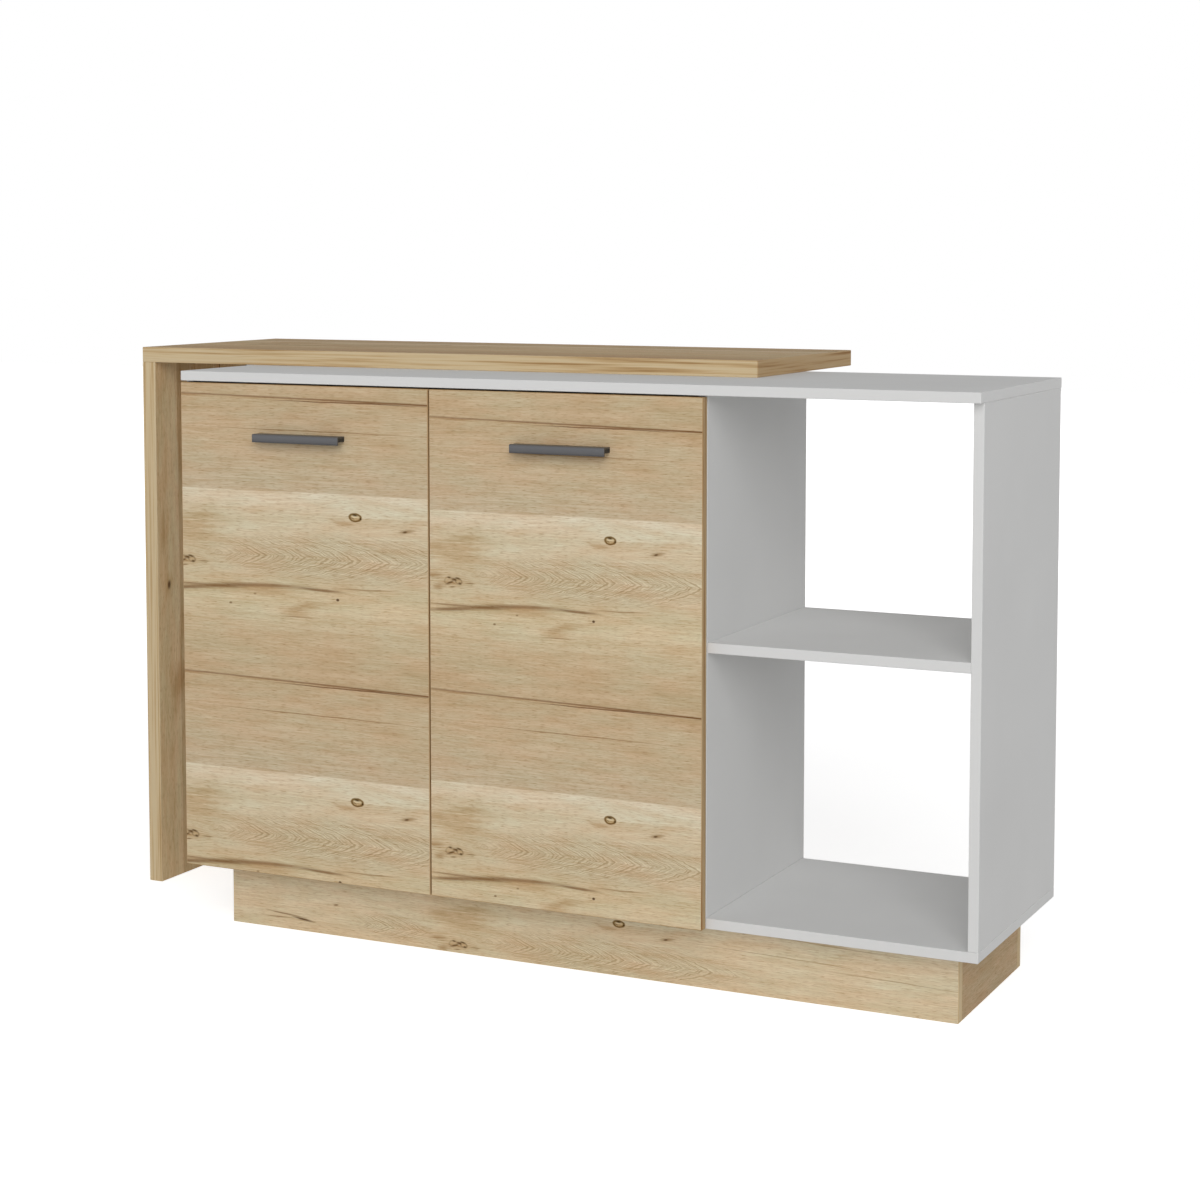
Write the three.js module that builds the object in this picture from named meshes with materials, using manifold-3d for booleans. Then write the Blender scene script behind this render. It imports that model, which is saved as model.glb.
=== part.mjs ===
// A two-tone kitchen island: a white cupboard with an open bay beside it, and an oak bar laid over
// its back half on a leg of its own. Millimetres; X runs to the right, Y to the back and Z up.
import * as THREE from "three";
import { mergeVertices } from "three/addons/utils/BufferGeometryUtils.js";
import Module from "manifold-3d";

const wasm = await Module();
wasm.setup();

// Driving dimensions of the boards
const boardThickness = 15; // white boards and oak-faced doors
const barThickness = 25; // bar top and bar leg
const backThickness = 3; // hardboard back of the cupboard
const edgeEase = 0.5; // sharp edges taken off every board

// Driving dimensions of the carcass
const plinthHeight = 99;
const sideHeight = 746; // clear height between the bottom panel and the top
const sideDepth = 383;
const cupboardWidth = 880; // from the left face to the bay face of the divider
const bayWidth = 385; // clear width of the open bay
const doorStandOff = 2; // air between a closed door and the carcass
const bayShelfRise = 381; // from the bottom panel up to the bay shelf
const bayShelfDepth = 380;
const plinthFrontInset = 37; // behind the front edges of the boards above
const plinthDepth = 304;
const plinthLeftInset = 50;
const plinthRightInset = 38;

// Driving dimensions of the bar
const barLeftOverhang = 220; // from the cupboard's left side to the outside of the bar's leg
const barDepth = 400;
const barBackOverhang = 200; // knee room behind the carcass

// Driving dimensions of the doors
const doorGap = 2; // between the two doors
const doorTopGap = 2.5;
const doorBottomReveal = 1; // above the underside of the bottom panel

// Fits
const seatGap = 0.3; // between a piece and what it sits in or on
const runningGap = 0.1; // round a pin that turns
const cutOverrun = 1; // how far a cutting tool runs past what it cuts
const weldTolerance = 0.001; // vertices nearer than this are one
const roundSides = 24; // facets of a round piece
const smallRoundSides = 12; // facets of a small hole or pin

// Planes worked out from the driving dimensions, measured from the top board's front left edge
const carcassFront = boardThickness + doorStandOff;
const carcassBack = carcassFront + sideDepth;
const topBack = carcassBack + backThickness;
const carcassWidth = cupboardWidth + bayWidth + boardThickness;
const floorOfBay = plinthHeight + boardThickness;
const topUnderside = floorOfBay + sideHeight;
const topSurface = topUnderside + boardThickness;
const barSurface = topSurface + barThickness;
const barBack = topBack + barBackOverhang;
const barFront = barBack - barDepth;
const barRight = cupboardWidth; // the bar ends in line with the divider
const barLeft = -barLeftOverhang;
const dividerLeft = cupboardWidth - boardThickness;

const materials = {
  whiteMelamine: new THREE.MeshStandardMaterial({ color: 0xefefee, roughness: 0.45, metalness: 0 }),
  oakDecor: new THREE.MeshStandardMaterial({ color: 0xcbb58c, roughness: 0.55, metalness: 0 }),
  hardboard: new THREE.MeshStandardMaterial({ color: 0xe9e9e6, roughness: 0.6, metalness: 0 }),
  darkMetal: new THREE.MeshStandardMaterial({ color: 0x5a5d61, roughness: 0.4, metalness: 0.8 }),
  nickelSteel: new THREE.MeshStandardMaterial({ color: 0xb9bbbd, roughness: 0.3, metalness: 1 }),
  zincSteel: new THREE.MeshStandardMaterial({ color: 0xa9abad, roughness: 0.4, metalness: 1 }),
  clearRubber: new THREE.MeshStandardMaterial({ color: 0xd9dcdc, roughness: 0.5, metalness: 0 }),
  whitePlastic: new THREE.MeshStandardMaterial({ color: 0xe4e4e0, roughness: 0.5, metalness: 0 }),
};

const island = new THREE.Group();

// Adds one named piece to a group, at a place in that group.
function addPiece(group, name, geometry, material, place = [0, 0, 0]) {
  const piece = new THREE.Mesh(geometry, material.clone());
  piece.name = name;
  piece.position.set(...place);
  group.add(piece);
  return piece;
}

// A closed geometry as a solid that can be cut and joined.
function solidOf(geometry) {
  const bare = geometry.index ? geometry.toNonIndexed() : geometry.clone();
  bare.deleteAttribute("normal");
  bare.deleteAttribute("uv");
  const welded = mergeVertices(bare, weldTolerance);
  return new wasm.Manifold(
    new wasm.Mesh({
      numProp: 3,
      vertProperties: welded.attributes.position.array,
      triVerts: new Uint32Array(welded.index.array),
    }),
  );
}

function geometryOf(solid) {
  const { vertProperties, triVerts } = solid.getMesh();
  const geometry = new THREE.BufferGeometry();
  geometry.setAttribute("position", new THREE.BufferAttribute(vertProperties, 3));
  geometry.setIndex(new THREE.BufferAttribute(triVerts, 1));
  const flat = geometry.toNonIndexed();
  flat.computeVertexNormals();
  return flat;
}

// The first geometry with all the others cut away.
function cut(base, ...tools) {
  return geometryOf(tools.reduce((solid, tool) => solid.subtract(solidOf(tool)), solidOf(base)));
}

function join(base, ...more) {
  return geometryOf(more.reduce((solid, piece) => solid.add(solidOf(piece)), solidOf(base)));
}

// A flat outline in Y and Z carried along X, in X and Z carried to the front, or in X and Y carried up.
const [xAxis, yAxis, zAxis] = [[1, 0, 0], [0, 1, 0], [0, 0, 1]].map((v) => new THREE.Vector3(...v));
const carried = {
  alongX: new THREE.Matrix4().makeBasis(yAxis, zAxis, xAxis),
  alongFront: new THREE.Matrix4().makeBasis(xAxis, zAxis, yAxis.clone().negate()),
  alongZ: new THREE.Matrix4(),
};

function extrude(outline, length, way = "alongZ") {
  // An arc takes twice its segments, so a full circle has the sides of a small round piece.
  const curveSegments = smallRoundSides / 2;
  return new THREE.ExtrudeGeometry(outline, { depth: length, bevelEnabled: false, curveSegments })
    .translate(0, 0, -length / 2)
    .applyMatrix4(carried[way]);
}

// A cylinder about the X, Y or Z axis, centred on the origin.
function rod(radius, length, axis, sides = smallRoundSides) {
  const cylinder = new THREE.CylinderGeometry(radius, radius, length, sides);
  if (axis === "x") cylinder.rotateZ(Math.PI / 2);
  if (axis === "z") cylinder.rotateX(Math.PI / 2);
  return cylinder;
}

// A rectangle with its corners cut, centred on the origin.
function easedRectangle(width, height, ease) {
  const [x, y] = [width / 2, height / 2];
  const corners = [
    [x, y - ease], [x - ease, y], [ease - x, y], [-x, y - ease],
    [-x, ease - y], [ease - x, -y], [x - ease, -y], [x, ease - y],
  ];
  return new THREE.Shape(corners.map(([a, b]) => new THREE.Vector2(a, b)));
}

// A board centred on the origin, with all twelve edges eased.
function board(width, depth, height) {
  const inner = easedRectangle(width - 2 * edgeEase, depth - 2 * edgeEase, edgeEase);
  const core = height - 2 * edgeEase;
  return new THREE.ExtrudeGeometry(inner, {
    depth: core,
    bevelEnabled: true,
    bevelThickness: edgeEase,
    bevelSize: edgeEase,
    bevelSegments: 1,
  }).translate(0, 0, -core / 2);
}

// The size and centre of the box between two corners.
function between(low, high) {
  return {
    size: high.map((value, i) => value - low[i]),
    centre: high.map((value, i) => (value + low[i]) / 2),
  };
}

// A board that fills the box between two corners.
function addBoard(name, material, low, high) {
  const { size, centre } = between(low, high);
  return addPiece(island, name, board(...size), material, centre);
}

// Screws that hold the bar down from inside the cupboard: two rows in from the ends and edges
const barScrew = {
  shankRadius: 2,
  headRadius: 4.2,
  headHeight: 2.4,
  bite: 12,
  endInset: 100,
  edgeInset: 50,
};
const barScrewRows = [barFront + barScrew.edgeInset, carcassBack - barScrew.edgeInset];
const barScrewPlaces = [barScrew.endInset, cupboardWidth - barScrew.endInset].flatMap((x) =>
  barScrewRows.map((y) => [x, y]),
);

// Shelf pins: rows of holes in the cupboard's two walls, of which the middle one is used
const pin = { pegRadius: 2.2, pegLength: 8, endGap: 1, stubRadius: 3, stubLength: 9 };
const pinHoleRadius = pin.pegRadius + seatGap;
const pinHoleDepth = pin.pegLength + pin.endGap;
const pinRowPitch = 32;
const cupboardShelfRise = 372; // from the bottom panel up to the shelf
const cupboardShelfFrontInset = 20;
const cupboardShelfSideGap = 1;
const cupboardShelfBackGap = 3;
const cupboardShelfUnderside = floorOfBay + cupboardShelfRise;
const cupboardShelfFront = carcassFront + cupboardShelfFrontInset;
const cupboardShelfBack = carcassBack - cupboardShelfBackGap;
const pinInset = 50; // from the shelf's front and back edges
const pinColumns = [cupboardShelfFront + pinInset, cupboardShelfBack - pinInset];
const pinLevel = cupboardShelfUnderside - seatGap - pin.stubRadius;

// The blind holes of one wall, in the frame of that wall's board. Face is +1 where they open to the right.
function pinHoles(wallCentre, face) {
  const levels = [-pinRowPitch, 0, pinRowPitch].map((step) => pinLevel + step);
  return pinColumns.flatMap((y) =>
    levels.map((z) =>
      rod(pinHoleRadius, pinHoleDepth + cutOverrun, "x").translate(
        (face * (boardThickness - pinHoleDepth + cutOverrun)) / 2,
        y - wallCentre[1],
        z - wallCentre[2],
      ),
    ),
  );
}

function buildCarcass() {
  const { whiteMelamine, hardboard } = materials;
  const bored = (name, low, high, tools) => {
    const { size, centre } = between(low, high);
    addPiece(island, name, cut(board(...size), ...tools(centre)), whiteMelamine, centre);
  };

  addBoard(
    "bottom_panel",
    whiteMelamine,
    [0, carcassFront, plinthHeight],
    [carcassWidth, carcassBack, floorOfBay],
  );
  bored(
    "side_left",
    [0, carcassFront, floorOfBay],
    [boardThickness, carcassBack, topUnderside],
    (centre) => pinHoles(centre, 1),
  );
  bored(
    "divider",
    [dividerLeft, carcassFront, floorOfBay],
    [cupboardWidth, carcassBack, topUnderside],
    (centre) => pinHoles(centre, -1),
  );
  addBoard(
    "side_right",
    whiteMelamine,
    [carcassWidth - boardThickness, carcassFront, floorOfBay],
    [carcassWidth, carcassBack, topUnderside],
  );
  bored("white_top", [0, 0, topUnderside], [carcassWidth, topBack, topSurface], (centre) =>
    barScrewPlaces.map(([x, y]) =>
      rod(barScrew.shankRadius + seatGap, boardThickness + 2 * cutOverrun, "z").translate(
        x - centre[0],
        y - centre[1],
        0,
      ),
    ),
  );
  addBoard(
    "bay_shelf",
    whiteMelamine,
    [cupboardWidth, carcassFront, floorOfBay + bayShelfRise],
    [cupboardWidth + bayWidth, carcassFront + bayShelfDepth, floorOfBay + bayShelfRise + boardThickness],
  );
  addBoard(
    "cupboard_shelf",
    whiteMelamine,
    [boardThickness + cupboardShelfSideGap, cupboardShelfFront, cupboardShelfUnderside],
    [dividerLeft - cupboardShelfSideGap, cupboardShelfBack, cupboardShelfUnderside + boardThickness],
  );

  const back = between([0, carcassBack, plinthHeight], [cupboardWidth, topBack, topUnderside]);
  addPiece(island, "back_panel", new THREE.BoxGeometry(...back.size), hardboard, back.centre);
}

// One pin: a peg in the wall and, past its shoulder, the thicker stub that carries the shelf.
function shelfPin() {
  const core = pin.stubLength / 2; // the peg runs into the stub
  const peg = rod(pin.pegRadius, pin.pegLength + core, "x").translate((core - pin.pegLength) / 2, 0, 0);
  const stub = rod(pin.stubRadius, pin.stubLength, "x").translate(pin.stubLength / 2, 0, 0);
  return join(peg, stub);
}

function buildShelfPins() {
  const walls = { left: [boardThickness, 0], right: [dividerLeft, Math.PI] };
  for (const [side, [wall, turn]] of Object.entries(walls)) {
    pinColumns.forEach((y, i) => {
      const name = `shelf_pin_${side}_${["front", "back"][i]}`;
      const place = [wall + Math.cos(turn) * seatGap, y, pinLevel];
      addPiece(island, name, shelfPin(), materials.nickelSteel, place).rotation.z = turn;
    });
  }
}

// Plinth: four boards and a cross rail, with a block screwed into each inner corner
const plinthLeft = plinthLeftInset;
const plinthRight = carcassWidth - plinthRightInset;
const plinthFront = carcassFront + plinthFrontInset;
const plinthBack = plinthFront + plinthDepth;
const cornerBlock = { leg: 42, lip: 7.5, height: 30, screwRadius: 2.5, screwInset: 12 };

function cornerBlockGeometry() {
  const { leg, lip, height, screwRadius, screwInset } = cornerBlock;
  const outline = new THREE.Shape();
  outline.moveTo(0, 0);
  outline.lineTo(leg, 0);
  outline.lineTo(leg, lip);
  outline.lineTo(lip, leg);
  outline.lineTo(0, leg);
  outline.closePath();
  const hole = new THREE.Path();
  hole.absarc(screwInset, screwInset, screwRadius, 0, 2 * Math.PI, true);
  outline.holes.push(hole);
  return extrude(outline, height);
}

function buildPlinth() {
  const { oakDecor, whitePlastic } = materials;
  const inner = [
    plinthLeft + boardThickness,
    plinthFront + boardThickness,
    plinthRight - boardThickness,
    plinthBack - boardThickness,
  ];
  const [left, front, right, back] = inner;
  const middle = (plinthLeft + plinthRight) / 2;
  const half = boardThickness / 2;
  addBoard("plinth_front", oakDecor, [plinthLeft, plinthFront, 0], [plinthRight, front, plinthHeight]);
  addBoard("plinth_back", oakDecor, [plinthLeft, back, 0], [plinthRight, plinthBack, plinthHeight]);
  addBoard("plinth_left", oakDecor, [plinthLeft, front, 0], [left, back, plinthHeight]);
  addBoard("plinth_right", oakDecor, [right, front, 0], [plinthRight, back, plinthHeight]);
  addBoard("plinth_rail", oakDecor, [middle - half, front, 0], [middle + half, back, plinthHeight]);

  const corners = [
    ["front_left", left, front],
    ["front_right", right, front],
    ["back_right", right, back],
    ["back_left", left, back],
  ];
  corners.forEach(([name, x, y], quarter) => {
    const place = [x, y, plinthHeight - cornerBlock.height / 2];
    const block = addPiece(island, `plinth_block_${name}`, cornerBlockGeometry(), whitePlastic, place);
    block.rotation.z = (quarter * Math.PI) / 2;
  });
}

// Angle brackets that tie the bar's leg to its top, back behind the cupboard, where nothing shows them
const bracket = { leg: 40, thickness: 2.5, width: 30, bend: 4, holeRadius: 2.5, holeInset: 26 };
const bracketShares = [0.7, 0.875]; // of the bar's depth, from its front edge

function bracketGeometry() {
  const { leg, thickness, width, bend, holeRadius, holeInset } = bracket;
  const outline = new THREE.Shape();
  outline.moveTo(0, -leg);
  outline.lineTo(thickness, -leg);
  outline.lineTo(thickness, -bend);
  outline.absarc(bend, -bend, bend - thickness, Math.PI, Math.PI / 2, true);
  outline.lineTo(leg, -thickness);
  outline.lineTo(leg, 0);
  outline.lineTo(bend, 0);
  outline.absarc(bend, -bend, bend, Math.PI / 2, Math.PI, false);
  outline.closePath();
  const drill = thickness + 2 * cutOverrun;
  return cut(
    extrude(outline, width, "alongFront"),
    rod(holeRadius, drill, "z").translate(holeInset, 0, -thickness / 2),
    rod(holeRadius, drill, "x").translate(thickness / 2, 0, -holeInset),
  );
}

// A pan-head screw pointing up, with its head's flat face at the origin.
function panScrew({ shankRadius, headRadius, headHeight }, length, axis = "z") {
  const tip = shankRadius; // the point is as long as the shank is thick
  const crown = headHeight / 2;
  const profile = [
    [0, -headHeight],
    [headRadius - crown, -headHeight],
    [headRadius, -crown],
    [headRadius, 0],
    [shankRadius, 0],
    [shankRadius, length - tip],
    [0, length],
  ];
  const screw = new THREE.LatheGeometry(
    profile.map(([r, h]) => new THREE.Vector2(r, h)),
    smallRoundSides,
  );
  return axis === "z" ? screw.rotateX(Math.PI / 2) : screw;
}

function buildBar() {
  const { oakDecor, zincSteel } = materials;
  const legRight = barLeft + barThickness;
  const top = between([barLeft, barFront, topSurface], [barRight, barBack, barSurface]);
  const bite = barScrew.bite + 2 * seatGap;
  const bores = barScrewPlaces.map(([x, y]) =>
    rod(barScrew.shankRadius + seatGap, bite + cutOverrun, "z").translate(
      x - top.centre[0],
      y - top.centre[1],
      (bite - cutOverrun - barThickness) / 2,
    ),
  );
  addPiece(island, "bar_top", cut(board(...top.size), ...bores), oakDecor, top.centre);
  addBoard("bar_leg", oakDecor, [barLeft, barFront, 0], [legRight, barBack, topSurface]);

  bracketShares.forEach((share, i) => {
    const place = [legRight + seatGap, barFront + share * barDepth, topSurface - seatGap];
    addPiece(island, `leg_bracket_${["front", "back"][i]}`, bracketGeometry(), zincSteel, place);
  });
  barScrewPlaces.forEach(([x, y], i) => {
    const screw = panScrew(barScrew, boardThickness + barScrew.bite);
    addPiece(island, `bar_screw_${i + 1}`, screw, zincSteel, [x, y, topUnderside - seatGap]);
  });
}

// Handles: a folded bar with a plate in front, a flange on top and a foot under each end
const handle = {
  length: 152,
  plateHeight: 12.5,
  sheet: 2.5,
  projection: 20,
  corner: 2,
  footWidth: 8,
  footHeight: 5.5,
  topBelowDoorTop: 74.5,
};
const handleScrew = { shankRadius: 2, headRadius: 4, headHeight: 2, bite: 9 };
const handleFootDepth = handle.projection - handle.sheet / 2 - seatGap; // it runs into the front plate
const handleFeet = [-1, 1].map((side) => (side * (handle.length - handle.footWidth)) / 2);
const handleScrewDrop = handle.sheet + handle.footHeight / 2; // below the top of the handle

// The handle's origin is at the middle of its top edge, on the door's face.
function handleGeometry() {
  const { length, plateHeight, sheet, projection, corner, footWidth, footHeight } = handle;
  const profile = new THREE.Shape();
  profile.moveTo(-seatGap, 0);
  profile.lineTo(corner - projection, 0);
  profile.absarc(corner - projection, -corner, corner, Math.PI / 2, Math.PI, false);
  profile.lineTo(-projection, -plateHeight);
  profile.lineTo(sheet - projection, -plateHeight);
  profile.lineTo(sheet - projection, -sheet);
  profile.lineTo(-seatGap, -sheet);
  profile.closePath();
  const overlap = sheet / 2; // the feet run into the flange above them
  const feet = handleFeet.map((x) =>
    new THREE.BoxGeometry(footWidth, handleFootDepth, footHeight + overlap).translate(
      x,
      -seatGap - handleFootDepth / 2,
      (overlap - footHeight) / 2 - sheet,
    ),
  );
  const taps = handleFeet.map((x) =>
    rod(handleScrew.shankRadius + seatGap, handleScrew.bite + 2 * cutOverrun, "y").translate(
      x,
      -seatGap - handleScrew.bite / 2,
      -handleScrewDrop,
    ),
  );
  return cut(join(extrude(profile, length, "alongX"), ...feet), ...taps);
}

// Concealed hinges. Their frame has X from the door's hinge edge into the door, Y from its front
// face to the back and Z along the pins, with the origin at the edge, the face and the cup's height.
const hinge = {
  fromDoorEnd: 95, // from the door's top and bottom to the cups
  cupEdge: 4, // from the door's edge to the cup
  cupRadius: 17.5,
  cupDepth: 11.5,
  cupWall: 1.2,
  flangeLip: 1, // round the cup, on the door
  flangeThickness: 0.9,
  wingRadius: 6,
  wingStep: 6.5, // from the cup's wall to the screw in each wing
  pinRadius: 1.1,
  linkRadius: 2.2,
  linkWidth: 7,
  pinSpreadShare: 0.6, // of the cup's radius, to each pin from the cup's middle
  cupPinDepth: 2, // below the door's inner face
  noseRadius: 2.6, // of the arm's end, round the pin
  noseGap: 1.7, // from the arm's end to the floor of the cup
  armSheet: 1.5,
  armRise: 12, // of the arm's back end above the side board
  bendSetbacks: [3, 17], // the arm's slope, behind the side board's front edge
  armSetback: 63, // the arm's back end
  plateSetback: 37, // the plate's screws
  plateThickness: 2,
  plateScrewPitch: 32,
  plateEnd: 8, // from a plate screw to the plate's end, and half its breadth
  screwRadius: 2,
};
const cupCentre = hinge.cupEdge + hinge.cupRadius;
const pinSpread = hinge.pinSpreadShare * hinge.cupRadius;
const cupFloor = boardThickness - hinge.cupDepth + hinge.cupWall;
const cupPinPlace = [cupCentre - pinSpread, boardThickness - hinge.cupPinDepth];
const armPinPlace = [cupCentre + pinSpread, cupFloor + hinge.noseGap + hinge.noseRadius];
const [bendStart, bendEnd] = hinge.bendSetbacks.map((setback) => carcassFront + setback);
const armEnd = carcassFront + hinge.armSetback;
const channelHalf = hinge.linkWidth / 2 + seatGap; // half the clear width inside the arm
const armHalf = channelHalf + hinge.armSheet;

function circle(x, y, radius) {
  return new THREE.Path().absarc(x, y, radius, 0, 2 * Math.PI, true);
}

// The cup: a drawn bowl with a screwed flange and the pin that crosses it near the door's edge.
function cupGeometry() {
  const { cupRadius, cupDepth, cupWall, flangeThickness, wingRadius, screwRadius } = hinge;
  const flangeRadius = cupRadius + hinge.flangeLip;
  const wingReach = cupRadius + hinge.wingStep;
  const outer = cupRadius - seatGap;
  const inner = outer - cupWall;
  const profile = [
    [0, -cupDepth],
    [outer, -cupDepth],
    [outer, seatGap],
    [flangeRadius, seatGap],
    [flangeRadius, flangeThickness + seatGap],
    [inner, flangeThickness + seatGap],
    [inner, cupWall - cupDepth],
    [0, cupWall - cupDepth],
  ];
  const bowl = new THREE.LatheGeometry(
    profile.map(([r, h]) => new THREE.Vector2(r, h)),
    roundSides,
  );
  const wing = new THREE.Shape();
  wing.absarc(0, wingReach, wingRadius, 0, Math.PI, false);
  wing.absarc(0, -wingReach, wingRadius, Math.PI, 2 * Math.PI, false);
  wing.holes.push(circle(0, wingReach, screwRadius), circle(0, -wingReach, screwRadius));
  const wings = extrude(wing, flangeThickness, "alongFront").translate(0, seatGap + flangeThickness / 2, 0);
  const bowlRoom = rod(inner + cupWall / 2, 2 * cupDepth, "y", roundSides);
  const pinReach = Math.sqrt(inner ** 2 - pinSpread ** 2) + cupWall / 2;
  const cupPin = rod(hinge.pinRadius, 2 * pinReach, "z").translate(-pinSpread, -hinge.cupPinDepth, 0);
  return join(bowl, cut(wings, bowlRoom), cupPin);
}

// The link: a round-ended bar with an eye at each end.
function linkGeometry() {
  const [from, to] = [armPinPlace, cupPinPlace].map((place) => new THREE.Vector2(...place));
  const length = from.distanceTo(to);
  const bore = hinge.pinRadius + runningGap;
  const outline = new THREE.Shape();
  outline.absarc(length, 0, hinge.linkRadius, -Math.PI / 2, Math.PI / 2, false);
  outline.absarc(0, 0, hinge.linkRadius, Math.PI / 2, (3 * Math.PI) / 2, false);
  outline.holes.push(circle(0, 0, bore), circle(length, 0, bore));
  return extrude(outline, hinge.linkWidth).rotateZ(to.sub(from).angle());
}

// The arm: a folded channel from the side board to its nose in the cup, with the pin across it.
function armGeometry() {
  const { noseRadius, armSheet, armRise, plateThickness } = hinge;
  const [noseX, noseY] = armPinPlace;
  const nearTop = noseX + noseRadius;
  const farTop = boardThickness + armRise;
  const foot = boardThickness + plateThickness + seatGap;
  const outline = new THREE.Shape();
  outline.moveTo(nearTop, noseY);
  outline.lineTo(nearTop, bendStart);
  outline.lineTo(farTop, bendEnd);
  outline.lineTo(farTop, armEnd);
  outline.lineTo(foot, armEnd);
  outline.lineTo(foot, bendEnd);
  outline.lineTo(noseX - noseRadius, bendStart);
  outline.lineTo(noseX - noseRadius, noseY);
  outline.absarc(noseX, noseY, noseRadius, Math.PI, 2 * Math.PI, false);
  const webStart = noseY + noseRadius + armSheet / 2;
  const channel = [
    [foot - cutOverrun, -cutOverrun],
    [nearTop + cutOverrun, -cutOverrun],
    [nearTop + cutOverrun, webStart],
    [nearTop - armSheet, webStart],
    [nearTop - armSheet, bendStart],
    [farTop - armSheet, bendEnd],
    [farTop - armSheet, armEnd + cutOverrun],
    [foot - cutOverrun, armEnd + cutOverrun],
  ];
  const room = new THREE.Shape(channel.map(([x, y]) => new THREE.Vector2(x, y)));
  const folded = cut(extrude(outline, 2 * armHalf), extrude(room, 2 * channelHalf));
  const armPin = rod(hinge.pinRadius, 2 * channelHalf + armSheet, "z").translate(noseX, noseY, 0);
  return join(folded, armPin);
}

// The plate: two wings screwed to the side board and the rail that the arm slides on.
function plateGeometry() {
  const { armRise, armSheet, plateThickness, plateScrewPitch, plateEnd, screwRadius } = hinge;
  const screwY = carcassFront + hinge.plateSetback;
  const screwZ = plateScrewPitch / 2;
  const wings = new THREE.Shape();
  wings.absarc(screwY, screwZ, plateEnd, 0, Math.PI, false);
  wings.absarc(screwY, -screwZ, plateEnd, Math.PI, 2 * Math.PI, false);
  wings.holes.push(circle(screwY, screwZ, screwRadius), circle(screwY, -screwZ, screwRadius));
  const plate = extrude(wings, plateThickness, "alongX").translate(plateThickness / 2, 0, 0);
  const railHeight = armRise - armSheet - seatGap;
  const railLength = armEnd - bendEnd;
  const rail = new THREE.BoxGeometry(railHeight, railLength, 2 * channelHalf - 2 * seatGap);
  rail.translate(railHeight / 2, bendEnd + railLength / 2, 0);
  return join(plate, rail).translate(boardThickness, 0, 0);
}

function buildHinge(side, level, edge, turn, height) {
  const { nickelSteel } = materials;
  const group = new THREE.Group();
  group.position.set(edge, 0, height);
  group.rotation.y = turn;
  island.add(group);
  const label = `${side}_${level}`;
  addPiece(group, `hinge_cup_${label}`, cupGeometry(), nickelSteel, [cupCentre, boardThickness, 0]);
  addPiece(group, `hinge_link_${label}`, linkGeometry(), nickelSteel, [...armPinPlace, 0]);
  addPiece(group, `hinge_arm_${label}`, armGeometry(), nickelSteel);
  addPiece(group, `hinge_plate_${label}`, plateGeometry(), nickelSteel);
}

// Doors: oak-faced boards bored for two cups and two handle screws
const bumper = { radius: 5, inset: 60 };
const doorWidth = (cupboardWidth - doorGap) / 2;
const doorBottom = plinthHeight + doorBottomReveal;
const doorTop = topUnderside - doorTopGap;
const doorHeight = doorTop - doorBottom;

// One door in a frame at its hinge edge, front face and bottom. Into is +1 where it runs to the right.
function doorGeometry(into) {
  const slab = board(doorWidth, boardThickness, doorHeight).translate(
    (into * doorWidth) / 2,
    boardThickness / 2,
    doorHeight / 2,
  );
  const boreDepth = hinge.cupDepth + seatGap;
  const cupBores = [hinge.fromDoorEnd, doorHeight - hinge.fromDoorEnd].map((z) =>
    rod(hinge.cupRadius, boreDepth + cutOverrun, "y", roundSides).translate(
      into * cupCentre,
      boardThickness + (cutOverrun - boreDepth) / 2,
      z,
    ),
  );
  const handleLevel = doorHeight - handle.topBelowDoorTop - handleScrewDrop;
  const screwHoles = handleFeet.map((x) =>
    rod(handleScrew.shankRadius + seatGap, boardThickness + 2 * cutOverrun, "y").translate(
      (into * doorWidth) / 2 + x,
      boardThickness / 2,
      handleLevel,
    ),
  );
  return cut(slab, ...cupBores, ...screwHoles);
}

function bumperGeometry() {
  const thickness = doorStandOff - 2 * seatGap;
  const profile = [
    [0, 0],
    [bumper.radius, 0],
    [bumper.radius, thickness / 2],
    [bumper.radius - thickness / 2, thickness],
    [0, thickness],
  ];
  return new THREE.LatheGeometry(
    profile.map(([r, h]) => new THREE.Vector2(r, h)),
    smallRoundSides,
  );
}

function buildDoors() {
  const { oakDecor, darkMetal, zincSteel, clearRubber } = materials;
  const sides = { left: [0, 1, 0], right: [cupboardWidth, -1, Math.PI] };
  for (const [side, [edge, into, turn]] of Object.entries(sides)) {
    const door = new THREE.Group();
    door.position.set(edge, 0, doorBottom);
    island.add(door);
    addPiece(door, `door_${side}`, doorGeometry(into), oakDecor);

    const middle = (into * doorWidth) / 2;
    const handleTop = doorHeight - handle.topBelowDoorTop;
    addPiece(door, `handle_${side}`, handleGeometry(), darkMetal, [middle, 0, handleTop]);
    handleFeet.forEach((x, i) => {
      // The screw points to the front, so it turns half round about the upright axis.
      const screw = panScrew(handleScrew, boardThickness + handleScrew.bite, "y");
      const place = [middle + x, boardThickness + seatGap, handleTop - handleScrewDrop];
      const name = `handle_screw_${side}_${["a", "b"][i]}`;
      addPiece(door, name, screw, zincSteel, place).rotation.z = Math.PI;
    });
    const bumperPlace = [
      into * (doorWidth - bumper.inset),
      boardThickness + seatGap,
      boardThickness / 2 - doorBottomReveal, // on the middle of the bottom panel's front edge
    ];
    addPiece(door, `door_bumper_${side}`, bumperGeometry(), clearRubber, bumperPlace);

    buildHinge(side, "lower", edge, turn, doorBottom + hinge.fromDoorEnd);
    buildHinge(side, "upper", edge, turn, doorTop - hinge.fromDoorEnd);
  }
}

buildCarcass();
buildShelfPins();
buildPlinth();
buildBar();
buildDoors();

// The origin is on the floor under the middle of the whole island, handles and bar included.
island.position.set(-(barLeft + carcassWidth) / 2, -(barBack - handle.projection) / 2, 0);

const kitchenIsland = new THREE.Group();
kitchenIsland.add(island);

export default kitchenIsland;
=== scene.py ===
import math

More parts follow.
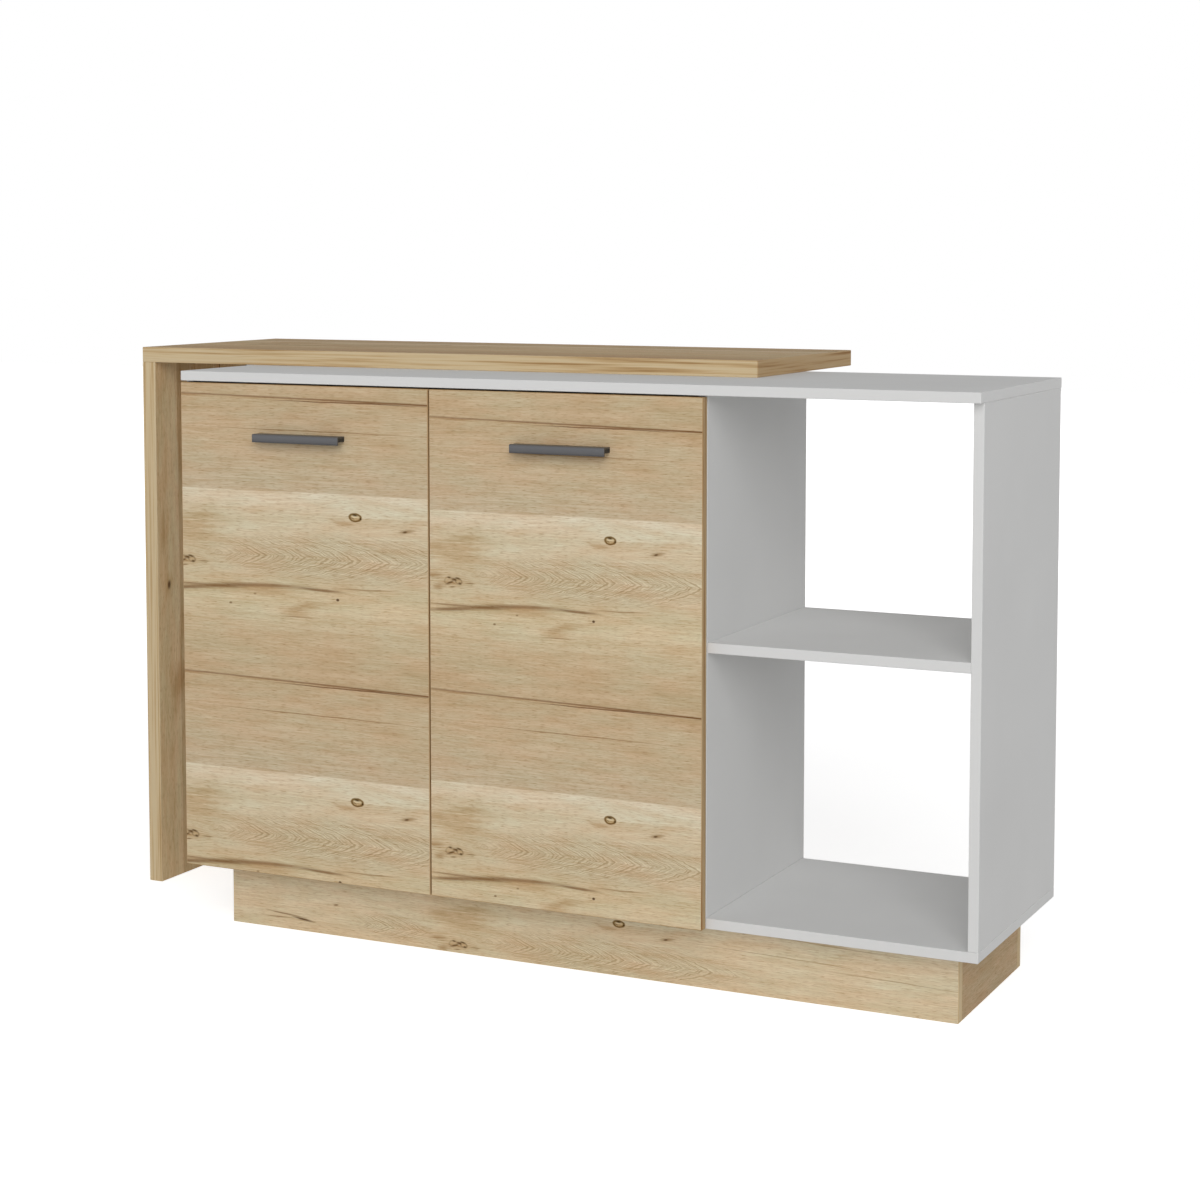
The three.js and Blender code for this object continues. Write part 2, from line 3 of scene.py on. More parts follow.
import bpy
import numpy as np
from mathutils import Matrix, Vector
from mathutils.geometry import tessellate_polygon


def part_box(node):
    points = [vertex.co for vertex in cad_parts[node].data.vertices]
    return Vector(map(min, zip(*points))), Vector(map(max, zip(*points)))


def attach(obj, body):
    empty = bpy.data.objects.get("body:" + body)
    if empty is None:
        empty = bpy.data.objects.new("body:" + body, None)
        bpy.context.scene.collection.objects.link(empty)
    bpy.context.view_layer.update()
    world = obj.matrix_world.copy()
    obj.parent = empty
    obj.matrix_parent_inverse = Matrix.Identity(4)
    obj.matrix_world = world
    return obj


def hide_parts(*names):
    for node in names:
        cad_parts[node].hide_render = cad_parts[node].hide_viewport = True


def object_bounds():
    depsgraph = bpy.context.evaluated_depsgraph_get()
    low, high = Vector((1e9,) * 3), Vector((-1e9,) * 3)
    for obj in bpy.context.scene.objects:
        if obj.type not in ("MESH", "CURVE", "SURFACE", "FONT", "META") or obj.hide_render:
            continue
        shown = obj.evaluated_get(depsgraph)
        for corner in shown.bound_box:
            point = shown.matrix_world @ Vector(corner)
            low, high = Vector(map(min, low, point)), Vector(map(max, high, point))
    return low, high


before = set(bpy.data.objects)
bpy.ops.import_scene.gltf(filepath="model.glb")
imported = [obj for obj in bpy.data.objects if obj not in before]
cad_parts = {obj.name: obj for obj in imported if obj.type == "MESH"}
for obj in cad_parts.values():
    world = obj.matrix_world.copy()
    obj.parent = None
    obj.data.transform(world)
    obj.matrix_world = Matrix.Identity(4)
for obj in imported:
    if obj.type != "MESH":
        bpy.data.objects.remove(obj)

mm = 0.001
cadBounds = [list(corner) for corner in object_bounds()]

# Camera: a long lens a little above the top, off to the right, with the picture shifted down
cameraView = {
    "place": (1.7011, -3.4294, 1.0724),
    "tiltDown": 4.4083,  # degrees
    "turn": 25.6751,  # degrees, to the left of straight back
    "lens": 73.639,
    "sensor": 36.0,
    "shift": (-0.00105, -0.14),
    "farthest": 100,  # metres
}


def setCamera():
    data = bpy.data.cameras.new("studio_camera")
    data.sensor_width = cameraView["sensor"]
    data.lens = cameraView["lens"]
    data.shift_x, data.shift_y = cameraView["shift"]
    data.clip_end = cameraView["farthest"]
    camera = bpy.data.objects.new("studio_camera", data)
    camera.location = cameraView["place"]
    upright = 90 - cameraView["tiltDown"]
    camera.rotation_euler = (math.radians(upright), 0, math.radians(cameraView["turn"]))
    bpy.context.scene.collection.objects.link(camera)
    bpy.context.scene.camera = camera


setCamera()
print("camera set")


# An sRGB hex colour as linear red, green, blue and alpha.
def linearColour(hexCode):
    channels = np.array([int(hexCode[i : i + 2], 16) for i in (1, 3, 5)]) / 255
    linear = np.where(channels <= 0.04045, channels / 12.92, ((channels + 0.055) / 1.055) ** 2.4)
    return (*linear.tolist(), 1.0)


# Adds a node. Inputs are sockets that feed it or values for its own sockets, options its settings.
def addNode(tree, kind, inputs=None, **options):
    node = tree.nodes.new("ShaderNode" + kind)
    for option, value in options.items():
        setattr(node, option, value)
    for key, value in (inputs or {}).items():
        if isinstance(value, bpy.types.NodeSocket):
            tree.links.new(value, node.inputs[key])
        else:
            node.inputs[key].default_value = value
    return node


def startMaterial(name):
    material = bpy.data.materials.new(name)
    material.use_nodes = True
    return material, material.node_tree, material.node_tree.nodes["Principled BSDF"]


# The marks that making has left, as noise of one size in mm: it moves the roughness between two
# values and raises the surface by a height in mm. Returns the place that a pattern reads.
def addMarks(tree, shader, values):
    place = addNode(tree, "TexCoord").outputs["Object"]
    inputs = {"Vector": place, "Scale": 1 / (values["mark"] * mm), "Detail": values["detail"]}
    marks = addNode(tree, "TexNoise", inputs).outputs[0]
    low, high = values["roughness"]
    gloss = addNode(tree, "MapRange", {0: marks, 3: low, 4: high})
    bump = addNode(tree, "Bump", {"Strength": 1.0, "Distance": values["height"] * mm, "Height": marks})
    tree.links.new(gloss.outputs[0], shader.inputs["Roughness"])
    tree.links.new(bump.outputs[0], shader.inputs["Normal"])
    return place


# Gives a colour ramp its stops, each a share of the way and a hex colour.
def setStops(rampNode, stops):
    elements = rampNode.color_ramp.elements
    while len(elements) < len(stops):
        elements.new(0.5)
    for element, (share, hexCode) in zip(elements, stops):
        element.position = share
        element.color = linearColour(hexCode)


# White melamine board: decor paper pressed under resin on a finely pearled plate.
# It is an even white with a soft broad sheen, and the pearl only shows up close.
whiteBoard = {
    "light": "#e8e8e7",
    "shade": "#e4e4e3",
    "shares": (0.7, 0.3),  # of the cloud, where each of the two whites is reached
    "cloud": 220,  # mm, of the slow change between them
    "mark": 1.3,  # mm, of the pearl, coarser than the real 0.3 so that it shows
    "height": 0.02,
    "detail": 2.0,
    "roughness": (0.74, 0.84),
    "specular": 0.1,
}


def whiteMelamine():
    material, tree, shader = startMaterial("white_melamine")
    place = addMarks(tree, shader, whiteBoard)
    cloud = addNode(tree, "TexNoise", {"Vector": place, "Scale": 1 / (whiteBoard["cloud"] * mm)})
    ramp = addNode(tree, "ValToRGB", {0: cloud.outputs[0]})
    light, shade = whiteBoard["shares"]
    setStops(ramp, [(shade, whiteBoard["shade"]), (light, whiteBoard["light"])])
    shader.inputs["Specular IOR Level"].default_value = whiteBoard["specular"]
    tree.links.new(ramp.outputs[0], shader.inputs["Base Color"])
    return material


# White edge band: ABS strip glued on hot and trimmed flush, a little glossier than the faces.
# Its trimming leaves a faint unevenness that catches the light.
whiteBand = {
    "colour": "#e7e7e6",
    "roughness": 0.7,
    "specular": 0.15,
    "mark": 2.2,  # mm, of the unevenness
    "height": 0.015,
}


def whiteEdgeBand():
    material, tree, shader = startMaterial("white_abs_edge_band")
    place = addNode(tree, "TexCoord").outputs["Object"]
    marks = addNode(tree, "TexNoise", {"Vector": place, "Scale": 1 / (whiteBand["mark"] * mm)})
    inputs = {"Strength": 1.0, "Distance": whiteBand["height"] * mm, "Height": marks.outputs[0]}
    bump = addNode(tree, "Bump", inputs)
    shader.inputs["Base Color"].default_value = linearColour(whiteBand["colour"])
    shader.inputs["Roughness"].default_value = whiteBand["roughness"]
    shader.inputs["Specular IOR Level"].default_value = whiteBand["specular"]
    tree.links.new(bump.outputs[0], shader.inputs["Normal"])
    return material


# Raw chipboard, as the bored holes show it: pressed wood chips of 2 mm, straw coloured and matt.
chips = {"size": 2.0, "stops": [(0.1, "#8a6a44"), (0.6, "#c9ab7c")], "roughness": 0.85}


def rawChipboard():
    material, tree, shader = startMaterial("raw_chipboard")
    place = addNode(tree, "TexCoord").outputs["Object"]
    flakes = addNode(tree, "TexVoronoi", {"Vector": place, "Scale": 1 / (chips["size"] * mm)})
    ramp = addNode(tree, "ValToRGB", {0: flakes.outputs["Distance"]})
    setStops(ramp, chips["stops"])
    tree.links.new(ramp.outputs[0], shader.inputs["Base Color"])
    shader.inputs["Roughness"].default_value = chips["roughness"]
    return material


# Oak decor board: a printed oak paper of wide planks under matt resin, with a fine wood-pore emboss.
# The print repeats across the grain. All sizes are in the print's own millimetres from its big knot,
# the first along the grain and the second across it.
oakPrint = {
    "period": 404.4,  # from one plank joint to the next
    "joint": 162.3,  # the joint above the big knot
    "jointLean": -0.0202,  # how far the joint falls for each millimetre along
    "jointTint": "#94704b",
    "jointEdge": (1.9, 0.5),  # how far from the joint its line begins, and is full
    "jointStrength": ((-250, 0.5), (150, 0.9)),  # the line's strength at two places along
    "seam": 30.8,  # where the heartwood above meets the pale sapwood below
    "seamLean": -0.003,
    "seamRagged": 5.0,  # how far the seam wanders
    "seamSoft": 0.9,  # how far the two colours blend, each way
    "heartwood": [(0.0, "#ddc6a6"), (0.12, "#e2cfb3"), (0.5, "#e3d2b7"), (1.0, "#e3d5be")],
    "sapwood": [
        (0.0, "#fbf3e2"),
        (0.07, "#f8f0dd"),
        (0.14, "#f1e6cf"),
        (0.24, "#f3e8d1"),
        (0.42, "#f0e3ca"),
        (0.52, "#ecdec1"),
        (0.58, "#f2e7cc"),
        (0.74, "#e7d7bb"),
        (0.9, "#e0ceb1"),
        (1.0, "#dfccaf"),
    ],
    # Grain lines: length, width and share of the whole
    "grain": [(34, 0.95, 0.34), (85, 2.4, 0.26), (260, 11, 0.2), (60, 18, 0.2)],
    "grainTint": "#d6c2a6",
    "grainStrength": 0.8,
    "span": (0.38, 0.62),  # the values that a noise of streaks mostly has
    "pores": (13, 0.8),
    "poreTint": "#c4a985",
    "poreStrength": 0.65,
    "poreSpan": (0.56, 0.72),
    "hues": ["#f9fbf4", "#fff8ef"],  # greenish and pinkish clouds
    "cloud": (130, 34),
    "thinnest": 0.4,  # what is left of a brown cloud between the grain lines
    "waviness": (18, 8),  # how far the grain wanders
    "wave": (260, 75),  # and over what distance
    "ripple": (2.0, 3.4),  # the same for the veins, which wander faster
    "rippleWave": (60, 45),
    "roughness": (0.68, 0.8),
    "specular": 0.15,
    "emboss": 0.05,
}
# Knots, the big one and the two of the double one: place, half size of the eye, slope, how strongly
# it is printed, and how far round it the grain bends
knots = {
    "big": {"place": (0, 0), "eye": (10.4, 7), "slope": -0.12, "strength": 1.0, "bend": (75, 34)},
    "left": {"place": (-264, -72.5), "eye": (9, 6.5), "slope": 0.4, "strength": 0.3, "bend": (60, 30)},
    "right": {
        "place": (-247, -72.6),
        "eye": (7.5, 5.4),
        "slope": -0.5,
        "strength": 0.45,
        "bend": (1, 1),
    },
}
# The eye of a knot, from its middle out to sound wood: light brown wood inside a soft dark rim
knotEye = [
    (0.0, "#fffcf4"),
    (0.48, "#f4ead6"),
    (0.68, "#a18b66"),
    (0.78, "#7f6b49"),
    (0.9, "#bba88a"),
    (1.0, "#ffffff"),
]
# How far an eye's edge wanders, over what distance, and by what share the grain is drawn in round it
knotShape = {"jitter": (3.0, 2.4), "jitterWave": (10, 8), "pull": 0.7}
# Other marks: place, half size, slope, edge hardness, tint and strength. Those with no hardness are
# clouds, which the grain breaks up.
printMarks = [
    ((-20, -8), (26, 7), -0.1, 0.0, "#d2b795", 0.8),  # round the big knot
    ((-0.5, 3.4), (6.4, 2.4), -0.12, 0.2, "#64553a", 0.95),
    ((-3.5, -1.2), (4.6, 1.3), -0.55, 0.2, "#8f7d5c", 0.7),
    ((8.0, -1.6), (1.7, 3.0), 0.2, 0.2, "#6b5a3d", 0.8),
    ((-258, -74), (40, 15), 0.0, 0.0, "#dac3a3", 0.8),  # round the double knot
    ((-282, -83), (16, 8), 0.3, 0.0, "#c3a986", 0.9),
    ((-290, -66), (24, 7), 0.1, 0.0, "#c6a982", 0.9),
    ((-263, -68), (4.6, 2.2), -0.15, 0.1, "#75603f", 0.9),
    ((-262, -75.5), (10, 2.4), 0.41, 0.03, "#7b6746", 0.9),
    ((-254, -70.5), (6.5, 3.8), -0.3, 0.03, "#846e4c", 0.9),
    ((-248, -68.8), (7.0, 2.2), -0.3, 0.1, "#75603f", 0.9),
    ((-245, -76), (4.0, 2.7), -0.2, 0.05, "#6a5536", 0.9),
    ((-258, -82), (8, 1.6), 0.1, 0.1, "#a58c66", 0.8),
    ((-228, -75), (12, 1.7), 0.0, 0.1, "#b79d75", 0.7),
    ((74, -16), (18, 4.2), 0.15, 0.05, "#b39a76", 0.8),  # the small knot
    ((72, -16.5), (5, 2.2), 0.2, 0.2, "#7d6546", 0.8),
    ((-187.5, -133.2), (3.2, 2.0), 0.0, 0.4, "#8a6a46", 0.75),
    ((-26.6, -118.3), (3.0, 2.4), 0.0, 0.5, "#5d4027", 0.9),
    ((-149.9, -117.9), (3, 1.6), 0.0, 0.4, "#9a7a54", 0.6),
    ((-264, -115.5), (58, 4.2), 0.06, 0.1, "#94724c", 0.75),  # the brown vein
    ((-266, -108.5), (60, 2.6), 0.01, 0.1, "#a88863", 0.65),
    ((-205, -109), (80, 5.4), 0.05, 0.05, "#a08260", 0.85),
    ((-130, -104.5), (88, 4.6), 0.0, 0.1, "#a4845f", 0.7),
    ((-52, -106.5), (48, 3.2), -0.03, 0.2, "#96744e", 0.75),
    ((14, -101.5), (64, 1.8), 0.02, 0.2, "#b3926b", 0.55),
    ((-165, -110), (150, 12), 0.045, 0.0, "#d0b48d", 0.7),
    ((-234, -9), (36, 10), 0.1, 0.0, "#dac7a8", 0.6),  # brown clouds
    ((-240, -18), (72, 30), 0.1, 0.0, "#e2d1b8", 0.55),
    ((-244, -34), (52, 12), -0.1, 0.0, "#dac6a7", 0.35),
    ((-254, -42), (92, 66), 0.0, 0.0, "#dfcdb0", 0.5),
    ((-288, -24), (30, 9), 0.1, 0.0, "#d4bd9a", 0.45),
    ((-70, -130), (46, 9), 0.15, 0.0, "#cfb088", 0.8),
    ((-92, -140), (36, 8), 0.0, 0.0, "#d3b792", 0.8),
    ((-84, -146.5), (36, 1.3), 0.0, 0.3, "#b08e66", 0.5),
    ((-10, 159.8), (150, 1.4), -0.012, 0.3, "#86643f", 0.8),  # beside the plank joint
    ((70, 166), (120, 8), -0.02, 0.0, "#bd9b72", 0.65),
    ((-250, 166), (60, 3), -0.02, 0.0, "#c2a179", 0.5),
    ((-60, 118.5), (220, 1.1), -0.01, 0.3, "#b59670", 0.6),
    ((-519, -67), (27, 3.2), -0.14, 0.1, "#6b4f31", 0.95),  # the dark streak far to the left
    ((-552, -61), (44, 2.0), -0.08, 0.1, "#957450", 0.8),
    ((-562, -68), (36, 1.8), 0.04, 0.1, "#a5855d", 0.7),
    ((-462, -33), (6, 2.6), 0.2, 0.2, "#94744f", 0.75),
    ((250, -20), (170, 1.0), -0.03, 0.3, "#b59670", 0.55),  # long lines far to the right
    ((330, 8), (150, 1.2), -0.035, 0.3, "#b59670", 0.5),
    ((400, -35), (130, 1.2), -0.03, 0.3, "#ad8d66", 0.5),
]
# The leg of the bar has one small brown knot and a cloud below it instead, in the same measures, and a
# brown band near its top that is painted shade.
legMarksAndShade = [
    ((0, 1), (11, 6.5), 0.1, 0.2, "#6b5033", 0.9),
    ((-3, 3), (34, 17), 0.0, 0.0, "#dac3a2", 0.8),
    ((95, -14), (60, 9), 0.03, 0.0, "#d2b995", 0.8),
    ((-70, 34), (90, 12), 0.02, 0.0, "#dec8a8", 0.7),
    ((-165, 32), (46, 42), 0.0, 0.0, "#d6bb99", 0.9),
    ((-185, 16), (70, 16), 0.05, 0.0, "#d8c09e", 0.7),
    ((-330, 50), (120, 12), 0.0, 0.0, "#dec9aa", 0.7),
    # Painted shade: a brown band on the upper part of the leg, where it meets the bar above
    ((250, 40), (170, 20), 0.02, 0.0, "#cbb18b", 0.9),
]
# Cathedral figures: V-shaped growth lines that point along the grain, each in a soft oval. Its heart
# is the middle of the closed ovals at its left end.
cathedral = {
    "figures": [
        {"heart": -206, "axis": -61, "middle": (-14, -60), "half": (262, 44)},
        {"heart": -440, "axis": -60, "middle": (-366, -58), "half": (78, 30)},
    ],
    "slant": 1.7,  # how far a line falls back beside its tip, and how fast that grows
    "bow": 0.04,
    "line": 4.8,
    "lineSpan": (0.42, 0.66),  # the values of the noise that draws the lines
    "jitter": (11, 6),
    "jitterWave": (20, 9),
    "tint": "#b9a07c",
    "strength": 0.55,
    "hardness": 0.45,  # of the oval's edge
}


def oakDecor(name, layout):
    material, tree, shader = startMaterial(name)

    def node(kind, inputs=None, **options):
        return addNode(tree, kind, inputs, **options)

    # A place moved about by noise, over a distance and by an amount each way.
    def wandered(place, wave, amount, base):
        scaled = node("VectorMath", {0: place, 1: (1 / wave[0], 1 / wave[1], 0)}, operation="MULTIPLY")
        noise = node("TexNoise", {"Vector": scaled.outputs[0], "Scale": 1.0, "Detail": 2.0})
        centred = node("VectorMath", {0: noise.outputs["Color"], 1: (0.5,) * 3}, operation="SUBTRACT")
        inputs = {0: centred.outputs[0], 1: (*amount, 0), 2: base}
        moved = node("VectorMath", inputs, operation="MULTIPLY_ADD")
        return moved.outputs[0], noise.outputs[0]

    axes = node("SeparateXYZ", {0: node("TexCoord").outputs["Object"]})
    lengthwise, crosswise = (
        node(
            "Math",
            {0: axes.outputs[axis], 1: 1 / (stretch * mm), 2: -start / stretch},
            operation="MULTIPLY_ADD",
        ).outputs[0]
        for axis, start, stretch in zip(layout["axes"], layout["start"], layout["stretch"])
    )

    # Depth is the distance below the plank joint, from 0 down to minus one period.
    lean = oakPrint["jointLean"]
    level = node("Math", {0: lengthwise, 1: -lean, 2: crosswise}, operation="MULTIPLY_ADD").outputs[0]
    fall = node("Math", {0: level, 1: oakPrint["joint"]}, operation="SUBTRACT").outputs[0]
    depth = node("Math", {0: fall, 1: 0.0, 2: -oakPrint["period"]}, operation="WRAP").outputs[0]
    lifted = node("Math", {0: depth, 1: oakPrint["joint"]}, operation="ADD").outputs[0]
    height = node("Math", {0: lengthwise, 1: lean, 2: lifted}, operation="MULTIPLY_ADD").outputs[0]
    spot = node("CombineXYZ", {0: lengthwise, 1: height}).outputs[0]

    # The grain wanders slowly, and bends round each knot. The veins wander faster as well.
    sway, wander = wandered(spot, oakPrint["wave"], oakPrint["waviness"], spot)
    veinSpot, _ = wandered(spot, oakPrint["rippleWave"], oakPrint["ripple"], spot)
    grainSpot = sway
    for knot in layout.get("knots", knots).values():
        away = node("VectorMath", {0: grainSpot, 1: (*knot["place"], 0)}, operation="SUBTRACT")
        share = node("VectorMath", {0: away.outputs[0], 1: (*knot["bend"], 1)}, operation="DIVIDE")
        reach = node("VectorMath", {0: share.outputs[0]}, operation="LENGTH")
        pull = node(
            "MapRange",
            {0: reach.outputs["Value"], 1: 0.0, 2: 1.0, 3: -knotShape["pull"], 4: 0.0},
            interpolation_type="SMOOTHSTEP",
        )
        side = node("VectorMath", {0: away.outputs[0], 1: (0, 1, 0)}, operation="MULTIPLY")
        shift = node("VectorMath", {0: side.outputs[0], "Scale": pull.outputs[0]}, operation="SCALE")
        grainSpot = node("VectorMath", {0: grainSpot, 1: shift.outputs[0]}, operation="ADD").outputs[0]

    # Streaks of noise, drawn out along the grain.
    def streaks(length, width, detail=3.0):
        scales = (1 / length, 1 / width, 0)
        scaled = node("VectorMath", {0: grainSpot, 1: scales}, operation="MULTIPLY")
        inputs = {"Vector": scaled.outputs[0], "Scale": 1.0, "Detail": detail, "Roughness": 0.6}
        return node("TexNoise", inputs).outputs[0]

    fine = streaks(*oakPrint["grain"][0][:2])
    total = node("Math", {0: fine, 1: oakPrint["grain"][0][2]}, operation="MULTIPLY").outputs[0]
    for length, width, share in oakPrint["grain"][1:]:
        inputs = {0: streaks(length, width), 1: share, 2: total}
        total = node("Math", inputs, operation="MULTIPLY_ADD").outputs[0]
    thin, thick = oakPrint["span"]
    inputs = {0: total, 1: thin, 2: thick, 3: 0.0, 4: oakPrint["grainStrength"]}
    density = node("MapRange", inputs)
    fewest, most = oakPrint["poreSpan"]
    dots = streaks(*oakPrint["pores"], 1.0)
    inputs = {0: dots, 1: fewest, 2: most, 3: 0.0, 4: oakPrint["poreStrength"]}
    pores = node("MapRange", inputs)

    # Plank colours: heartwood above the seam, sapwood below it, each with its own slow change.
    seamDepth = oakPrint["seam"] - oakPrint["joint"]
    seamTilt = lean - oakPrint["seamLean"]
    heart = node("Math", {0: depth, 1: seamDepth}, operation="DIVIDE").outputs[0]
    sap = node("MapRange", {0: depth, 1: seamDepth, 2: -oakPrint["period"]}).outputs[0]
    heartRamp = node("ValToRGB", {0: heart})
    sapRamp = node("ValToRGB", {0: sap})
    setStops(heartRamp, oakPrint["heartwood"])
    setStops(sapRamp, oakPrint["sapwood"])
    swing, soft = oakPrint["seamRagged"], oakPrint["seamSoft"]
    inputs = {0: wander, 1: swing, 2: -swing / 2 - seamDepth}
    ragged = node("Math", inputs, operation="MULTIPLY_ADD").outputs[0]
    inputs = {0: lengthwise, 1: seamTilt, 2: ragged}
    slanted = node("Math", inputs, operation="MULTIPLY_ADD").outputs[0]
    above = node("Math", {0: depth, 1: slanted}, operation="ADD").outputs[0]
    blend = node("MapRange", {0: above, 1: -soft, 2: soft}).outputs[0]
    inputs = {0: blend, 6: sapRamp.outputs[0], 7: heartRamp.outputs[0]}
    plank = node("Mix", inputs, data_type="RGBA")
    clouds = node("ValToRGB", {0: streaks(*oakPrint["cloud"])})
    setStops(clouds, list(zip((thin, thick), oakPrint["hues"])))
    colour = plank.outputs[2]

    # Multiplies the colour by a tint, as far as a mask says.
    def stain(under, mask, tint):
        inputs = {0: mask, 6: under, 7: tint}
        return node("Mix", inputs, data_type="RGBA", blend_type="MULTIPLY").outputs[2]

    colour = stain(colour, 1.0, clouds.outputs[0])
    colour = stain(colour, density.outputs[0], linearColour(oakPrint["grainTint"]))
    colour = stain(colour, pores.outputs[0], linearColour(oakPrint["poreTint"]))
    if "tint" in layout:
        colour = stain(colour, 1.0, linearColour(layout["tint"]))

    # How far a place is from the middle of an oval, with its edge at one.
    def ovalReach(place, middle, half, slope):
        inputs = {"Vector": place, "Location": (*middle, 0), "Rotation": (0, 0, slope)}
        inputs["Scale"] = (*half, 1)
        oval = node("Mapping", inputs, vector_type="TEXTURE")
        return node("VectorMath", {0: oval.outputs[0]}, operation="LENGTH").outputs["Value"]

    def ovalMask(reach, hardness, strength):
        inputs = {0: reach, 1: 1.0, 2: hardness, 3: 0.0, 4: strength}
        return node("MapRange", inputs, interpolation_type="SMOOTHSTEP").outputs[0]

    # Cathedral lines: u = |along| + slant * |across| + bow * across squared, as lines of noise.
    jittered, _ = wandered(spot, cathedral["jitterWave"], cathedral["jitter"], sway)
    parts = node("SeparateXYZ", {0: jittered})
    for figure in cathedral["figures"] if layout.get("cathedral", True) else []:
        rise = node("Math", {0: parts.outputs[1], 1: figure["axis"]}, operation="SUBTRACT").outputs[0]
        beside = node("Math", {0: rise}, operation="ABSOLUTE").outputs[0]
        square = node("Math", {0: rise, 1: rise}, operation="MULTIPLY").outputs[0]
        along = node("Math", {0: parts.outputs[0], 1: figure["heart"]}, operation="SUBTRACT")
        along = node("Math", {0: along.outputs[0]}, operation="ABSOLUTE").outputs[0]
        inputs = {0: beside, 1: cathedral["slant"], 2: along}
        slanting = node("Math", inputs, operation="MULTIPLY_ADD").outputs[0]
        bowed = node("Math", {0: square, 1: cathedral["bow"], 2: slanting}, operation="MULTIPLY_ADD")
        scaled = node("Math", {0: bowed.outputs[0], 1: 1 / cathedral["line"]}, operation="MULTIPLY")
        rings = node("TexNoise", {"W": scaled.outputs[0], "Scale": 1.0}, noise_dimensions="1D")
        faint, full = cathedral["lineSpan"]
        lines = node("MapRange", {0: rings.outputs[0], 1: faint, 2: full})
        reach = ovalReach(sway, figure["middle"], figure["half"], 0.0)
        mask = ovalMask(reach, cathedral["hardness"], cathedral["strength"])
        drawn = node("Math", {0: mask, 1: lines.outputs[0]}, operation="MULTIPLY").outputs[0]
        colour = stain(colour, drawn, linearColour(cathedral["tint"]))

    inputs = {0: total, 1: thin, 2: thick, 3: oakPrint["thinnest"], 4: 1.0}
    wisps = node("MapRange", inputs).outputs[0]
    for place, half, slope, hardness, tint, strength in layout.get("marks", printMarks):
        mask = ovalMask(ovalReach(veinSpot, place, half, slope), hardness, strength)
        if hardness == 0:
            mask = node("Math", {0: mask, 1: wisps}, operation="MULTIPLY").outputs[0]
        colour = stain(colour, mask, linearColour(tint))
    eyeSpot, _ = wandered(spot, knotShape["jitterWave"], knotShape["jitter"], veinSpot)
    for knot in layout.get("knots", knots).values():
        eye = node("ValToRGB", {0: ovalReach(eyeSpot, knot["place"], knot["eye"], knot["slope"])})
        setStops(eye, knotEye)
        colour = stain(colour, knot["strength"], eye.outputs[0])

    # The plank joint is a thin dark line, darker towards its right end.
    belowEnd = node("Math", {0: depth, 1: oakPrint["period"]}, operation="ADD").outputs[0]
    aboveEnd = node("Math", {0: depth, 1: -1.0}, operation="MULTIPLY").outputs[0]
    distance = node("Math", {0: belowEnd, 1: aboveEnd}, operation="MINIMUM").outputs[0]
    begins, isFull = oakPrint["jointEdge"]
    jointMask = node("MapRange", {0: distance, 1: begins, 2: isFull})
    (left, faint), (right, strong) = oakPrint["jointStrength"]
    darker = node("MapRange", {0: lengthwise, 1: left, 2: right, 3: faint, 4: strong})
    jointLine = node("Math", {0: jointMask.outputs[0], 1: darker.outputs[0]}, operation="MULTIPLY")
    colour = stain(colour, jointLine.outputs[0], linearColour(oakPrint["jointTint"]))

    low, high = oakPrint["roughness"]
    gloss = node("MapRange", {0: fine, 3: low, 4: high})
    bump = node("Bump", {"Strength": 1.0, "Distance": oakPrint["emboss"] * mm, "Height": total})
    shader.inputs["Specular IOR Level"].default_value = oakPrint["specular"]
    tree.links.new(colour, shader.inputs["Base Color"])
    tree.links.new(gloss.outputs[0], shader.inputs["Roughness"])
    tree.links.new(bump.outputs[0], shader.inputs["Normal"])
    return material


# Oak edge band: the same print on a thin strip, so an edge shows only lengthwise stripes.
oakBand = {
    "stripes": [
        (0.3, "#a98556"),
        (0.41, "#cbad81"),
        (0.5, "#dac39b"),
        (0.62, "#ddc9a4"),
        (0.75, "#c8a97c"),
    ],
    "stripe": 4.2,  # mm across the band
    "run": 300,  # mm along it
    "roughness": 0.68,
    "specular": 0.15,
}
# The axis across each band, which is its board's thickness, and a darker tint on two of them that is
# painted shade. On the doors it stands in for the shadow in the gaps beside them; the bar's tint grows
# in between two places in metres along X, so that only its right end face has it.
oakBands = {
    "oak_edge_band_x": {"across": 0},
    "oak_edge_band_y": {"across": 1},
    # Painted shade: the door bands' tint stands in for the shadow in the gaps beside the doors
    "oak_edge_band_door_painted_shade": {"across": 1, "tint": "#e2d5c8"},
    # Painted shade: darkens only the bar's right end face, for the shade on that side
    "oak_edge_band_bar": {"across": 2, "tint": "#e4d8cc", "between": (0.3484, 0.3492)},
}


def oakEdgeBand(name):
    material, tree, shader = startMaterial(name)
    values = oakBands[name]
    place = addNode(tree, "TexCoord").outputs["Object"]
    scales = [1 / (oakBand["run"] * mm)] * 3
    scales[values["across"]] = 1 / (oakBand["stripe"] * mm)
    drawn = addNode(tree, "VectorMath", {0: place, 1: scales}, operation="MULTIPLY")
    inputs = {"Vector": drawn.outputs[0], "Scale": 1.0, "Detail": 4.0, "Roughness": 0.6}
    stripes = addNode(tree, "TexNoise", inputs)
    ramp = addNode(tree, "ValToRGB", {0: stripes.outputs[0]})
    setStops(ramp, oakBand["stripes"])
    colour, share = ramp.outputs[0], 1.0
    # The tint is painted shade; on the bar a share along X keeps it to the right end face.
    if "between" in values:
        start, end = values["between"]
        axes = addNode(tree, "SeparateXYZ", {0: place})
        share = addNode(tree, "MapRange", {0: axes.outputs[0], 1: start, 2: end}).outputs[0]
    if "tint" in values:
        inputs = {0: share, 6: colour, 7: linearColour(values["tint"])}
        colour = addNode(tree, "Mix", inputs, data_type="RGBA", blend_type="MULTIPLY").outputs[2]
    tree.links.new(colour, shader.inputs["Base Color"])
    shader.inputs["Roughness"].default_value = oakBand["roughness"]
    shader.inputs["Specular IOR Level"].default_value = oakBand["specular"]
    return material


